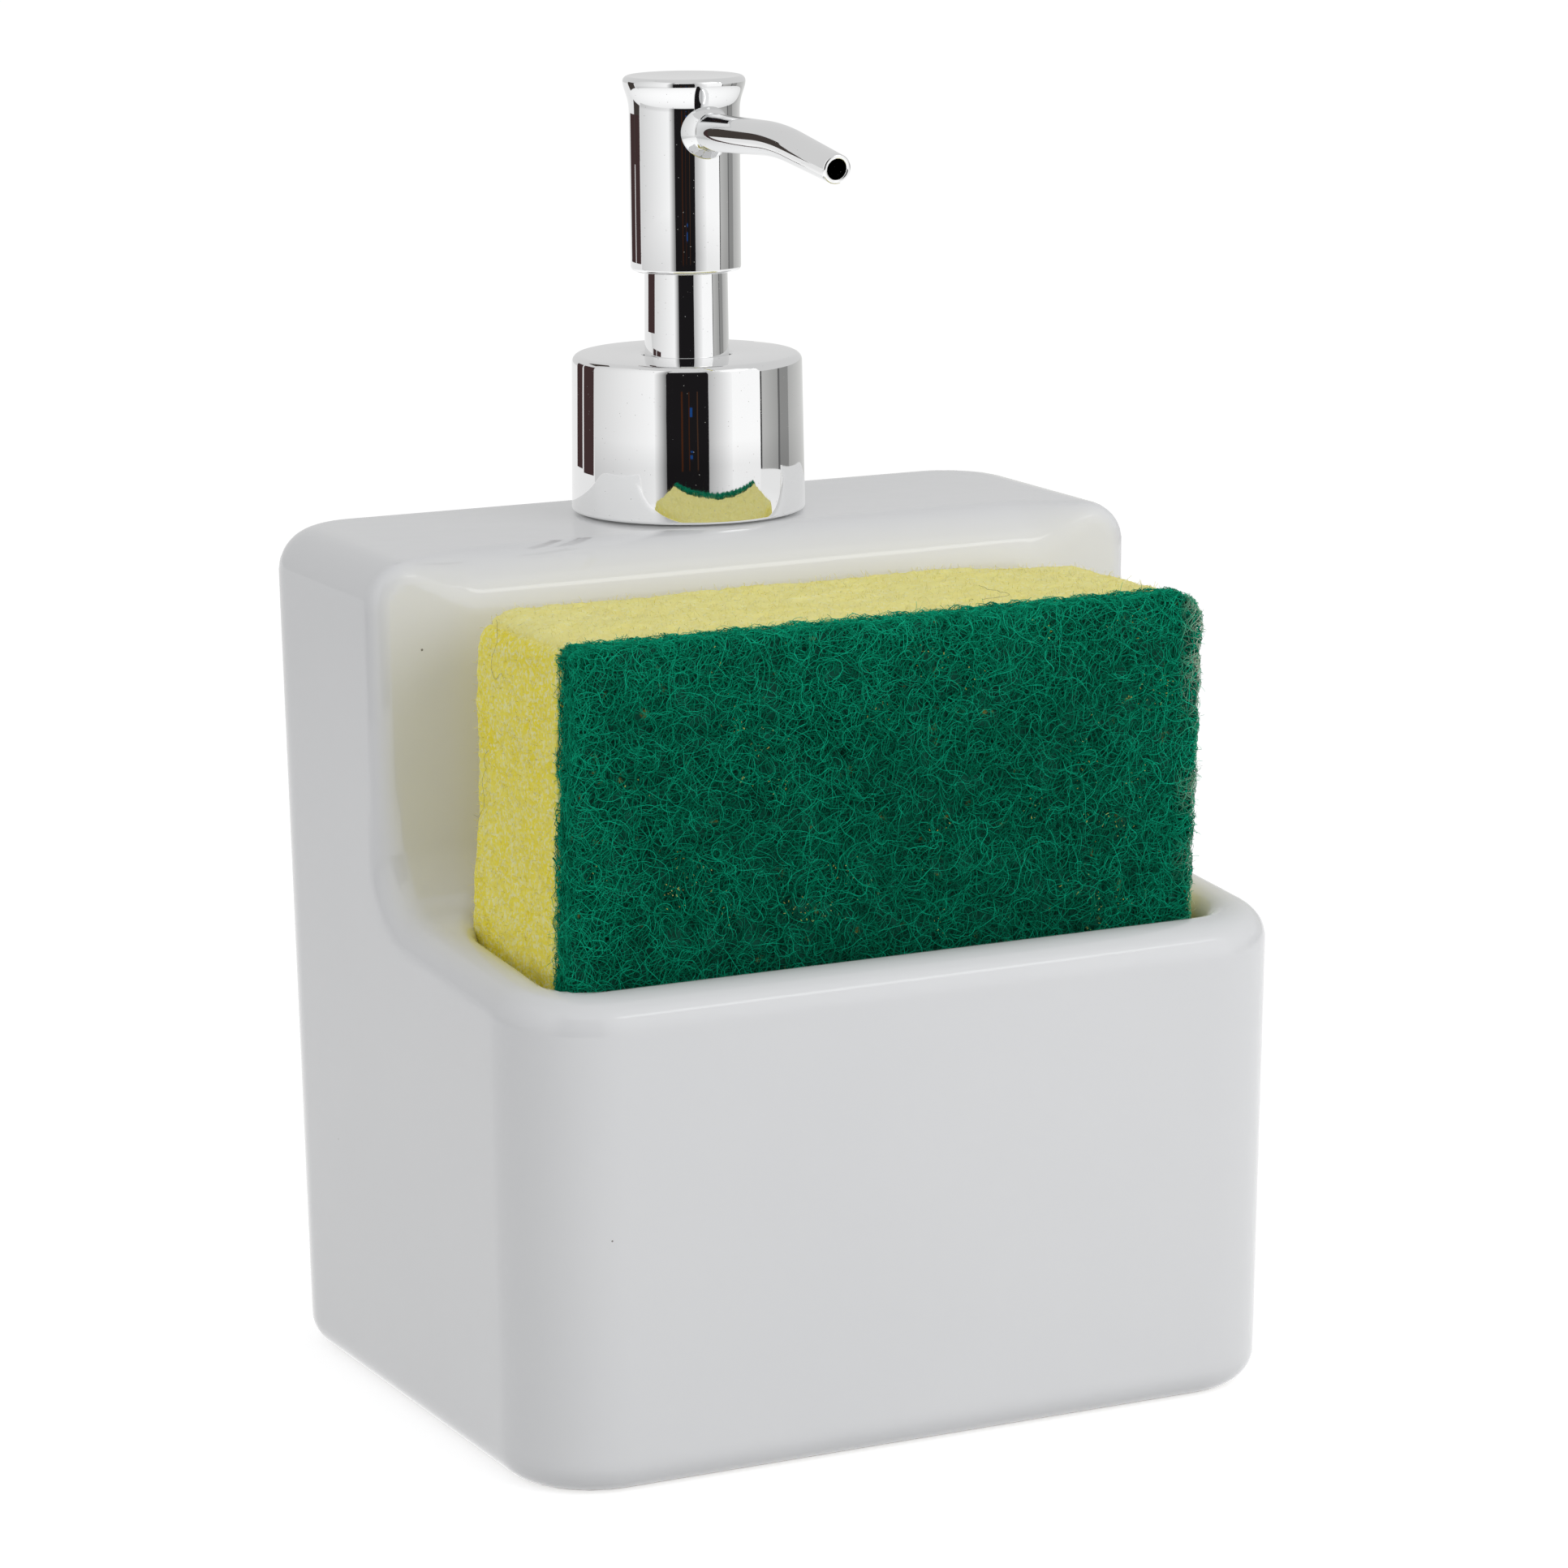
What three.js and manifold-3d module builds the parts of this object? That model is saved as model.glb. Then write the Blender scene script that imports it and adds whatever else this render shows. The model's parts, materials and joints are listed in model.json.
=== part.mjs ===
// Ceramic sink caddy: a soap dispenser with a pump at the back and a sponge pocket in front.
// Millimetres, +Z up, +Y towards the back. The origin is under the middle of the caddy, on its foot.

import * as THREE from 'three';
import { mergeVertices } from 'three/addons/utils/BufferGeometryUtils.js';
import Module from 'manifold-3d';

const wasm = await Module();
wasm.setup();

// Ceramic body
const BODY_WIDTH = 114; // at the foot, along X
const BODY_DEPTH = 92; // at the foot, along Y
const BODY_HEIGHT = 118.4; // top of the dispenser block
const BLOCK_DEPTH = 43.3; // dispenser block, front to back at the foot
const RIM_HEIGHT = 71.1; // top of the pocket's rim, where it meets the block
const RIM_FALL = 0.075; // how far the rim falls per mm towards the front
const WALL_DRAFT = 0.0144; // how far each outer wall leans out per mm of height
const CORNER_RADIUS = 13.5; // upright outer corners
const TOP_ROUND = 6.2; // edge round the dispenser's top
const FOOT_ROUND = 4.5; // edge round the bottom
const STEP_FILLET = 8; // hollow curve where the side rims rise into the block
const RIM_WALL = 8.4; // pocket wall just under its rounded rim
const EDGE_ROUND = 4.6; // outer edge along the rim, up the step and up the block's front
const RIM_INNER_ROUND = 3.4;
const RIM_OUTER_SHARE = 0.56; // most of the rim's wall that each of its two rounds may take
const RIM_INNER_SHARE = 0.41;
const POCKET_DEPTH = 26.3; // rim to pocket floor, at the block
const POCKET_DRAFT = 0.012; // pocket walls close in towards the floor
const POCKET_CORNER = 5; // upright front corners of the pocket
const POCKET_FLOOR_ROUND = 3.5;
const SHELL_WALL = 5; // walls round the soap reservoir
const ROOF_WALL = 6; // ceramic over the reservoir, where the neck sits
const DRAIN_RISE = 0.6; // the front of the reservoir's floor stands higher, so soap drains back
const RESERVOIR_CORNER = 8;
const RESERVOIR_ROUND = 4;
const FOOT_WIDTH = 9; // unglazed ring that the caddy stands on
const FOOT_RECESS = 1.2;

// Pump, from the deck (the block's top face) upwards
const PUMP_FROM_BACK = 19.6; // pump axis to the back of the foot
const COLLAR_DIAMETER = 33.2; // at the deck
const COLLAR_TAPER = 0.3; // smaller radius at the top
const COLLAR_WALL = 1.5;
const COLLAR_EDGE = 1; // rounded top edge
const COLLAR_TOP = 1.6; // thickness of the collar's top plate
const CLOSURE_WALL = 2.5; // screw cap inside the collar
const CLOSURE_TOP = 2.2;
const NECK_HEIGHT = 15; // screw neck above the deck
const NECK_WALL = 2.25;
const NECK_FLANGE = 1.8;
const NECK_LEDGE = 2.3; // flange beyond the spigot
const GASKET_THICKNESS = 1.2;
const HOUSING_FLANGE = 1.6;
const SLEEVE_DIAMETER = 12; // guide sleeve under the head
const SLEEVE_TAPER = 0.15;
const SLEEVE_WALL = 1.7;
const SLEEVE_FOOT = 0.8;
const SLEEVE_LAP = 1.8; // sleeve hidden inside the head at rest
const BOSS_SHOW = 11.8; // sleeve in view at rest
const PRESS_MARGIN = 1.3; // left of it when the head is fully down
const HEAD_HEIGHT = 27.3;
const HEAD_WALL = 1.3;
const HEAD_TOP = 3; // solid top of the head
const HEAD_FLARE = 0.85; // how far the head's top flares out
const HEAD_FLARE_HEIGHT = 4.8;
const HEAD_RIM = 0.8; // rounded edge of the flared top
const HEAD_DISH = 0.2; // shallow dish in the top
const HEAD_SKIRT_EDGE = 0.6;

// Spout
const SPOUT_RISE = 19.8; // head's lower edge to the spout's axis
const SPOUT_REACH = 47.5; // pump axis to the tip
const SPOUT_BEND = 30; // pump axis to the bend
const SPOUT_BEND_LENGTH = 9; // length of the bent stretch
const SPOUT_LIFT = 0.9; // climb up to the bend
const SPOUT_DROP = 2.6; // fall from the bend to the tip
const SPOUT_ROOT_RADIUS = 2.75;
const SPOUT_TIP_RADIUS = 2.05;
const SPOUT_BORE_RADIUS = 1.4;
const SPOUT_FILLET = 1.1; // trumpet where it meets the head

// Pump insides
const PISTON_BORE = 12.6;
const HOUSING_WALL = 1.2;
const BARREL_DEPTH = 45; // housing's top face to the spring's seat
const STEM_DIAMETER = 7;
const STEM_BORE = 3;
const STEM_FLANGE = 1.4; // flange beyond the stem that carries piston and spring
const STEM_FLANGE_HEIGHT = 1.5;
const STEM_NOSE = 3.2; // guides the spring's top coil
const SOCKET_DEPTH = 3.4; // stem inside the actuator
const GUIDE_LENGTH = 9.8; // stem guide inside the barrel
const GUIDE_RIM = 1.8;
const PISTON_HEIGHT = 5;
const PISTON_WAIST = 0.5;
const SPRING_WIRE = 0.9;
const SPRING_TURNS = 8;
const INLET_BALL = 5; // diameters
const OUTLET_BALL = 4.8;
const BALL_LIFT = 0.8;
const BALL_CHAMBER_GAP = 0.7;
const CATCH_LIP = 0.8; // ring that keeps the inlet ball in
const CATCH_GRIP = 0.4; // how far the ring reaches over the ball
const THROAT_SHARE = 0.56; // throat under the inlet ball, as a share of the ball
const INLET_THROAT = 1.6;
const DIP_TUBE_DIAMETER = 6.4;
const DIP_TUBE_BORE = 4.6;
const DIP_SOCKET = 10; // length of tube held in the housing
const DIP_TUBE_OFF_FLOOR = 4.4;
const DIP_TUBE_SLANT = 40; // degrees, the cut end that soap can always enter

// Sponge
const SPONGE_SIDE_ROOM = 2.4; // sponge to each side of the pocket, at the floor
const SPONGE_FRONT_ROOM = 2.8; // sponge to the pocket's front, at the floor
const SPONGE_HEIGHT = 68.5;
const FOAM_THICKNESS = 25;
const PAD_THICKNESS = 5.4;
const GLUE_LINE = 0.2;
const SPONGE_CORNER = 4.5; // round corners of the sponge
const SPONGE_CUT_CORNER = 1.5; // upper left corner, where it was cut off a longer bar
const SPONGE_LEAN = 2.6; // degrees, towards the front
const SPONGE_SLUMP = 0.7; // degrees that its ends lean towards +X
const SPONGE_SHIFT = -1.2; // bottom of the sponge, along X

// Clearances
const SLIDE_FIT = 0.3; // between pieces that are pushed together
const TIGHT_FIT = 0.15;
const SEAT_GAP = 0.2; // under a ball or a leaning piece
const RUN_GAP = 0.5; // between the head and the sleeve it runs over

// How finely curves are cut
const CORNER_STEPS = 6;
const ROUND_STEPS = 5;
const FINE_TURN = 40; // facets round the polished pieces
const PLAIN_TURN = 24; // facets round the hidden pieces
const WELD = 1e-4;
const HORN_SKIM = 0.01; // keeps the pocket's cut just off the horns' front
const SPOUT_SIDES = 20;
const COIL_STEPS = 11; // per turn of the spring
const BALL_SIDES = 16;

// Small helpers

// A closed mesh with shared vertices, no collapsed triangles, and its faces pointing out.
function weld(geometry) {
  geometry.deleteAttribute('normal');
  geometry.deleteAttribute('uv');
  const welded = mergeVertices(geometry, WELD);
  const position = welded.getAttribute('position');
  const corners = [0, 1, 2].map(() => new THREE.Vector3());
  const kept = [];
  let volume = 0;
  const index = welded.getIndex().array;
  for (let i = 0; i < index.length; i += 3) {
    const [a, b, c] = index.slice(i, i + 3);
    if (a === b || b === c || c === a) continue;
    kept.push(a, b, c);
    [a, b, c].forEach((vertex, k) => corners[k].fromBufferAttribute(position, vertex));
    volume += corners[0].dot(corners[1].clone().cross(corners[2]));
  }
  welded.setIndex(volume < 0 ? kept.reverse() : kept);
  return welded;
}

function toSolid(geometry) {
  const welded = weld(geometry);
  const vertProperties = new Float32Array(welded.getAttribute('position').array);
  const triVerts = new Uint32Array(welded.getIndex().array);
  return new wasm.Manifold(new wasm.Mesh({ numProp: 3, vertProperties, triVerts }));
}

function toGeometry(solid) {
  const mesh = solid.getMesh();
  const geometry = new THREE.BufferGeometry();
  geometry.setAttribute('position', new THREE.BufferAttribute(new Float32Array(mesh.vertProperties), 3));
  geometry.setIndex(Array.from(mesh.triVerts));
  return geometry;
}

// Skin over rings of equally many points: open ends are capped, or the last ring joins the first.
function skin(rings, joinEnds = false) {
  const count = rings[0].length;
  const points = rings.flat();
  const triangles = [];
  const bands = joinEnds ? rings.length : rings.length - 1;
  for (let band = 0; band < bands; band += 1) {
    const low = band * count;
    const high = ((band + 1) % rings.length) * count;
    for (let i = 0; i < count; i += 1) {
      const next = (i + 1) % count;
      triangles.push(low + i, low + next, high + next, low + i, high + next, high + i);
    }
  }
  if (!joinEnds) {
    const top = (rings.length - 1) * count;
    const flat = (ring) => ring.map((p) => new THREE.Vector2(p.x, p.y));
    const cap = (ring) => THREE.ShapeUtils.triangulateShape(flat(ring), []);
    for (const [a, b, c] of cap(rings[0])) triangles.push(c, b, a);
    for (const [a, b, c] of cap(rings.at(-1))) triangles.push(top + a, top + b, top + c);
  }
  const geometry = new THREE.BufferGeometry().setFromPoints(points);
  geometry.setIndex(triangles);
  return geometry;
}

// Points on an arc in a level plane, angles in degrees.
function levelArc(x, y, z, radius, from, to, steps) {
  return Array.from({ length: steps + 1 }, (_, i) => {
    const angle = THREE.MathUtils.degToRad(from + ((to - from) * i) / steps);
    return new THREE.Vector3(x + radius * Math.cos(angle), y + radius * Math.sin(angle), z);
  });
}

// Rounded rectangle, symmetric in X, counter-clockwise from its right back corner.
function roundedRectangle(half, front, back, z, frontRadius, backRadius, steps = CORNER_STEPS) {
  return [
    ...levelArc(half - backRadius, back - backRadius, z, backRadius, 0, 90, steps),
    ...levelArc(backRadius - half, back - backRadius, z, backRadius, 90, 180, steps),
    ...levelArc(frontRadius - half, front + frontRadius, z, frontRadius, 180, 270, steps),
    ...levelArc(half - frontRadius, front + frontRadius, z, frontRadius, 270, 360, steps),
  ];
}

// Quarter-round edge as pairs of (distance in from the side, distance from the level face).
function quarterRound(radius, steps = ROUND_STEPS) {
  return Array.from({ length: steps + 1 }, (_, i) => {
    const angle = ((Math.PI / 2) * i) / steps;
    return { inset: radius * (1 - Math.sin(angle)), off: radius * (1 - Math.cos(angle)) };
  });
}

// Solid of revolution about Z from a closed outline in (radius, height).
function revolve(outline, turn = PLAIN_TURN, arcSteps = 3) {
  return new THREE.LatheGeometry(outline.getPoints(arcSteps), turn).rotateX(Math.PI / 2);
}

// Closed outline through corner points, given as [radius, height].
function outlineThrough(corners) {
  const outline = new THREE.Path(corners.map(([radius, height]) => new THREE.Vector2(radius, height)));
  outline.closePath();
  return outline;
}

function cylinder(radius, bottom, top, turn = PLAIN_TURN) {
  const height = top - bottom;
  const geometry = new THREE.CylinderGeometry(radius, radius, height, turn).rotateX(Math.PI / 2);
  return geometry.translate(0, 0, bottom + height / 2);
}

// Levels and radii that the pieces share

const deck = BODY_HEIGHT;
const footHalf = BODY_WIDTH / 2;
const footFront = -BODY_DEPTH / 2;
const footBack = BODY_DEPTH / 2;
const blockFront = footBack - BLOCK_DEPTH;
const pumpY = footBack - PUMP_FROM_BACK;
const lean = (z) => WALL_DRAFT * z;
const edgeRound = Math.min(EDGE_ROUND, RIM_WALL * RIM_OUTER_SHARE);
const innerRound = Math.min(RIM_INNER_ROUND, RIM_WALL * RIM_INNER_SHARE);
const pocketFloor = RIM_HEIGHT - POCKET_DEPTH;
const pocketMouth = RIM_HEIGHT - innerRound;
const pocketCloseIn = (z) => POCKET_DRAFT * Math.max(pocketMouth - z, 0);
const pocketHalf = (z) => footHalf + lean(pocketMouth) - RIM_WALL - pocketCloseIn(z);
const pocketFront = (z) => footFront - lean(pocketMouth) + RIM_WALL + pocketCloseIn(z);

const neckTop = deck + NECK_HEIGHT;
const gasketTop = neckTop + GASKET_THICKNESS;
const housingTop = gasketTop + HOUSING_FLANGE;
const closureTop = housingTop + CLOSURE_TOP;
const sleeveFootTop = closureTop + SLEEVE_FOOT;
const collarTop = sleeveFootTop + COLLAR_TOP;
const headBottom = collarTop + BOSS_SHOW;
const headTop = headBottom + HEAD_HEIGHT;
const stroke = BOSS_SHOW - PRESS_MARGIN;
const sleeveTop = headBottom + SLEEVE_LAP;
const coreBottom = sleeveTop + stroke + RUN_GAP;
const coreTop = headTop - HEAD_TOP - SEAT_GAP;
const spoutZ = headBottom + SPOUT_RISE;

const collarRadius = COLLAR_DIAMETER / 2;
const closureRadius = collarRadius - COLLAR_WALL - SLIDE_FIT;
const neckRadius = closureRadius - CLOSURE_WALL - SLIDE_FIT;
const neckBore = neckRadius - NECK_WALL;
const spigotRadius = neckRadius + TIGHT_FIT;
const boreRadius = PISTON_BORE / 2;
const barrelRadius = boreRadius + HOUSING_WALL;
const guideRimRadius = boreRadius + HOUSING_WALL / 2;
const closureHole = guideRimRadius + SLIDE_FIT;
const sleeveRadius = SLEEVE_DIAMETER / 2;
const headBore = sleeveRadius + RUN_GAP;
const headRadius = headBore + HEAD_WALL;
const coreRadius = headBore - TIGHT_FIT;
const stemRadius = STEM_DIAMETER / 2;
const stemBore = STEM_BORE / 2;
const stemTop = coreBottom + SOCKET_DEPTH;

// A ball rests in a 45 degree seat: its centre stands this far above the seat's narrow end.
const ballStand = (ballRadius, throat) => ballRadius * Math.SQRT2 - throat + SEAT_GAP;

const guideBottom = housingTop - GUIDE_LENGTH;
const pistonTop = guideBottom - SLIDE_FIT;
const pistonBottom = pistonTop - PISTON_HEIGHT;
const stemFlangeBottom = pistonBottom - STEM_FLANGE_HEIGHT;
const springSeat = housingTop - BARREL_DEPTH;
const inletRadius = INLET_BALL / 2;
const inletChamber = inletRadius + BALL_CHAMBER_GAP;
const lipBottom = springSeat - CATCH_LIP;
const lipRadius = inletRadius - CATCH_GRIP;
const inletThroat = inletRadius * THROAT_SHARE;
const inletBallZ = lipBottom - inletRadius - BALL_LIFT - SEAT_GAP;
const inletSeat = inletBallZ - ballStand(inletRadius, inletThroat);
const dipTubeRadius = DIP_TUBE_DIAMETER / 2;
const dipTubeTop = inletSeat - INLET_THROAT;
const dipTubeBottom = SHELL_WALL + DIP_TUBE_OFF_FLOOR;
const outletRadius = OUTLET_BALL / 2;
const outletSeatDepth = stemRadius - TIGHT_FIT * 4 - stemBore;
const outletBallZ = stemTop - outletSeatDepth + ballStand(outletRadius, stemBore);
const chamberRadius = outletRadius + BALL_CHAMBER_GAP;
const chamberTop = spoutZ + SPOUT_ROOT_RADIUS;

// Ceramic body

// Left edge of the dispenser's front at one height, from the plain side wall round to the front.
// The edge is a quarter round that runs along the side rim, up the hollow step and up the block,
// so it is measured by the depth under that step line: no depth is the line, edgeRound the side.
function stepEdge(z, half, edgeInset) {
  const round = Math.max(edgeRound - edgeInset, TIGHT_FIT);
  const rise = RIM_HEIGHT + STEP_FILLET - z;
  const depthAtRim = THREE.MathUtils.clamp(RIM_HEIGHT - z, 0, round);
  const start = Math.acos(1 - depthAtRim / round);
  return Array.from({ length: CORNER_STEPS + 1 }, (_, i) => {
    const angle = THREE.MathUtils.lerp(Math.PI / 2, start, i / CORNER_STEPS);
    const depth = round * (1 - Math.cos(angle));
    const x = half - round * (1 - Math.sin(angle));
    const curved = Math.sqrt(Math.max((STEP_FILLET + depth) ** 2 - rise ** 2, 0)) - STEP_FILLET;
    const y = blockFront + (rise > 0 ? curved : depth + edgeInset);
    return new THREE.Vector3(-x, y, z);
  });
}

const mirrored = (points) => points.map((p) => new THREE.Vector3(-p.x, p.y, p.z)).reverse();

// Outline of the caddy at one height. The pocket's part is drawn in by rimInset near the rim, the
// whole outline by edgeInset at foot and top. Above the rim the pocket's part folds onto the block.
function bodySection(z, { edgeInset = 0, rimInset = 0, aboveRim = false }) {
  const half = footHalf + lean(z) - edgeInset;
  const back = footBack + lean(z) - edgeInset;
  const cornerRadius = CORNER_RADIUS - edgeInset;
  const edge = stepEdge(z, half, aboveRim ? edgeInset : 0);
  const frontHalf = half - rimInset;
  const front = footFront - lean(z) + edgeInset + rimInset;
  const frontRadius = cornerRadius - rimInset;
  const frontX = frontRadius - frontHalf;
  const frontCorner = levelArc(frontX, front + frontRadius, z, frontRadius, 180, 270, CORNER_STEPS);
  const last = edge.at(-1);
  const folded = frontCorner.map((_, i) => last.clone().setX(last.x * (1 - (i + 1) / (CORNER_STEPS + 2))));
  const pocketPart = aboveRim ? folded : frontCorner;
  const backX = cornerRadius - half;
  const backCorner = levelArc(backX, back - cornerRadius, z, cornerRadius, 90, 180, CORNER_STEPS);
  const leftSide = [...backCorner, ...edge, ...pocketPart];
  return [...leftSide, ...mirrored(leftSide)];
}

// How far the hollow step curve stands in front of the block at a height above the rim.
function stepCurve(z) {
  const toTop = Math.max(STEP_FILLET - (z - RIM_HEIGHT), 0);
  return STEP_FILLET - Math.sqrt(STEP_FILLET ** 2 - toTop ** 2);
}

// Heights of the step curve, closer together where it turns fastest.
const stepHeights = quarterRound(STEP_FILLET).map(({ off }) => RIM_HEIGHT + off);

// The rim falls towards the front: points ahead of the block sink, fully at the rim, not at the floor.
function fallen(point) {
  const ahead = Math.min(point.y - blockFront, 0);
  const share = THREE.MathUtils.smoothstep(point.z, pocketFloor + POCKET_FLOOR_ROUND, pocketMouth);
  return point.clone().setZ(point.z + RIM_FALL * ahead * share);
}

const withFall = (rings) => rings.map((ring) => ring.map(fallen));

function bodyBlank() {
  const foot = quarterRound(FOOT_ROUND).map(({ inset, off }) => bodySection(off, { edgeInset: inset }));
  const rim = quarterRound(edgeRound)
    .reverse()
    .map(({ inset, off }) => bodySection(RIM_HEIGHT - off, { rimInset: inset }));
  const step = stepHeights.map((z) => bodySection(z, { aboveRim: true }));
  const top = quarterRound(TOP_ROUND)
    .reverse()
    .map(({ inset, off }) => bodySection(deck - off, { edgeInset: inset, aboveRim: true }));
  return skin(withFall([...foot, ...rim, ...step, ...top]));
}

// The pocket's hollow. Its mouth flares over the rounded rim and stops at the two horns, where the
// side rims curve up into the block: there the corner of each horn is rounded instead.
function pocketSection(z, { inset = 0, flare = 0, hornLine = blockFront - STEP_FILLET }) {
  const half = pocketHalf(z) - inset;
  const front = pocketFront(z) + inset - flare;
  const cornerRadius = Math.max(POCKET_CORNER - inset, 1) + flare;
  const wide = half + flare;
  return [
    new THREE.Vector3(half, blockFront - inset, z),
    new THREE.Vector3(-half, blockFront - inset, z),
    ...levelArc(-wide, hornLine + flare, z, flare, 0, -90, ROUND_STEPS),
    ...levelArc(cornerRadius - wide, front + cornerRadius, z, cornerRadius, 180, 270, CORNER_STEPS),
    ...levelArc(wide - cornerRadius, front + cornerRadius, z, cornerRadius, 270, 360, CORNER_STEPS),
    ...levelArc(wide, hornLine + flare, z, flare, 270, 180, ROUND_STEPS),
  ];
}

function pocketHollow() {
  const floorRound = Math.min(POCKET_FLOOR_ROUND, POCKET_DEPTH - innerRound);
  const floor = quarterRound(floorRound)
    .map(({ inset, off }) => pocketSection(pocketFloor + off, { inset }));
  const mouth = quarterRound(innerRound)
    .reverse()
    .map(({ inset, off }) => pocketSection(RIM_HEIGHT - off, { flare: inset }));
  const hornTop = stepHeights.length - 1;
  const horns = stepHeights.slice(1, hornTop).map((z) => {
    const reach = stepCurve(z);
    const flare = Math.min(innerRound, reach - HORN_SKIM);
    return pocketSection(z, { flare, hornLine: blockFront - reach - HORN_SKIM });
  });
  return skin(withFall([...floor, ...mouth, ...horns]));
}

// Level outline of the reservoir, a wall's thickness inside the body.
function reservoirSection(z, front, wall, inset) {
  const half = footHalf + lean(z) - wall - inset;
  const back = footBack + lean(z) - SHELL_WALL - inset;
  const radius = RESERVOIR_CORNER - inset;
  return roundedRectangle(half, front + inset, back, z, radius, radius, ROUND_STEPS);
}

function reservoirPart(bottom, top, frontAt, wall) {
  const edge = quarterRound(RESERVOIR_ROUND, 3);
  const at = (z, inset) => reservoirSection(z, frontAt(z), wall, inset);
  const low = edge.map(({ inset, off }) => at(bottom + off, inset));
  const high = edge.map(({ inset, off }) => at(top - off, inset));
  return toSolid(skin([...low, ...high.reverse()]));
}

function ceramicBody() {
  const roof = deck - ROOF_WALL;
  const behindPocket = reservoirPart(SHELL_WALL, roof, () => blockFront + SHELL_WALL, SHELL_WALL);
  const underPocket = reservoirPart(
    SHELL_WALL + DRAIN_RISE,
    pocketFloor - ROOF_WALL,
    (z) => footFront - lean(z) + SHELL_WALL,
    SHELL_WALL + DRAIN_RISE,
  );
  const neckHole = cylinder(spigotRadius + SLIDE_FIT, deck - ROOF_WALL * 2, deck + ROOF_WALL, FINE_TURN);
  const recess = [-FOOT_RECESS, FOOT_RECESS].map((z) => {
    const radius = CORNER_RADIUS - FOOT_ROUND;
    const half = footHalf - FOOT_WIDTH - FOOT_ROUND;
    const back = footBack - FOOT_WIDTH - FOOT_ROUND;
    return roundedRectangle(half, -back, back, z, radius, radius, ROUND_STEPS);
  });
  const body = toSolid(bodyBlank())
    .subtract(toSolid(pocketHollow()))
    .subtract(behindPocket.add(underPocket))
    .subtract(toSolid(neckHole.translate(0, pumpY, 0)))
    .subtract(toSolid(skin(recess)));
  return toGeometry(body);
}

// Pump pieces, all revolved about their own axis

// Screw neck: spigot in the ceramic, flange on the deck, tube that the cap screws onto.
function neckInsert() {
  const flangeRadius = spigotRadius + NECK_LEDGE;
  return revolve(outlineThrough([
    [neckBore, deck - ROOF_WALL],
    [spigotRadius, deck - ROOF_WALL],
    [spigotRadius, deck],
    [flangeRadius, deck],
    [flangeRadius, deck + NECK_FLANGE],
    [neckRadius, deck + NECK_FLANGE],
    [neckRadius, neckTop],
    [neckBore, neckTop],
  ]), FINE_TURN);
}

// Screw cap inside the collar: clamps the housing's flange onto the gasket.
function innerClosure() {
  const skirtBottom = deck + NECK_FLANGE + SLIDE_FIT;
  const skirtBore = neckRadius + SLIDE_FIT;
  return revolve(outlineThrough([
    [skirtBore, skirtBottom],
    [closureRadius, skirtBottom],
    [closureRadius, closureTop],
    [closureHole, closureTop],
    [closureHole, housingTop],
    [skirtBore, housingTop],
  ]), FINE_TURN);
}

// Polished cover over the cap, with a rounded top edge and a chamfered hole for the sleeve.
function collarShell() {
  const bottom = deck + SLIDE_FIT;
  const bore = collarRadius - COLLAR_WALL;
  const topRadius = collarRadius - COLLAR_TAPER;
  const topBore = Math.max(topRadius - COLLAR_WALL, closureRadius + TIGHT_FIT);
  const hole = sleeveRadius + SLIDE_FIT;
  const chamfer = COLLAR_TOP / 3;
  const outline = new THREE.Path();
  outline.moveTo(bore, bottom);
  outline.lineTo(collarRadius - SLIDE_FIT, bottom);
  outline.lineTo(collarRadius, bottom + SLIDE_FIT);
  outline.lineTo(topRadius, collarTop - COLLAR_EDGE);
  outline.absarc(topRadius - COLLAR_EDGE, collarTop - COLLAR_EDGE, COLLAR_EDGE, 0, Math.PI / 2, false);
  outline.lineTo(hole + chamfer, collarTop);
  outline.lineTo(hole, collarTop - chamfer);
  outline.lineTo(hole, sleeveFootTop);
  outline.lineTo(topBore, sleeveFootTop);
  outline.closePath();
  return revolve(outline, FINE_TURN);
}

// Fixed tube that the head slides over. Its foot is held between cap and collar.
function guideSleeve() {
  const bore = sleeveRadius - SLEEVE_WALL;
  const topRadius = sleeveRadius - SLEEVE_TAPER;
  return revolve(outlineThrough([
    [bore, closureTop],
    [closureHole + SLIDE_FIT * 2, closureTop],
    [closureHole + SLIDE_FIT * 2, sleeveFootTop],
    [sleeveRadius, sleeveFootTop],
    [topRadius, sleeveTop - SLIDE_FIT],
    [topRadius - SLIDE_FIT, sleeveTop],
    [bore, sleeveTop],
  ]), FINE_TURN);
}

function pumpGasket() {
  return revolve(outlineThrough([
    [neckBore - SLIDE_FIT, neckTop],
    [neckRadius - TIGHT_FIT, neckTop],
    [neckRadius - TIGHT_FIT, gasketTop],
    [neckBore - SLIDE_FIT, gasketTop],
  ]));
}

// Pump barrel: flange at the top, spring seat with a catch lip, ball seat and socket for the tube.
function pumpHousing() {
  const flangeRadius = neckRadius - TIGHT_FIT;
  const socketBore = dipTubeRadius + TIGHT_FIT;
  const socketRadius = socketBore + HOUSING_WALL;
  const socketEnd = dipTubeTop - DIP_SOCKET;
  return revolve(outlineThrough([
    [boreRadius, housingTop],
    [boreRadius, springSeat],
    [lipRadius, springSeat],
    [lipRadius, lipBottom],
    [inletChamber, lipBottom],
    [inletChamber, inletSeat + inletChamber - inletThroat],
    [inletThroat, inletSeat],
    [inletThroat, dipTubeTop],
    [socketBore, dipTubeTop],
    [socketBore, socketEnd],
    [socketRadius, socketEnd],
    [socketRadius, dipTubeTop],
    [barrelRadius, lipBottom - HOUSING_WALL],
    [barrelRadius, gasketTop],
    [flangeRadius, gasketTop],
    [flangeRadius, housingTop],
  ]));
}

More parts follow.
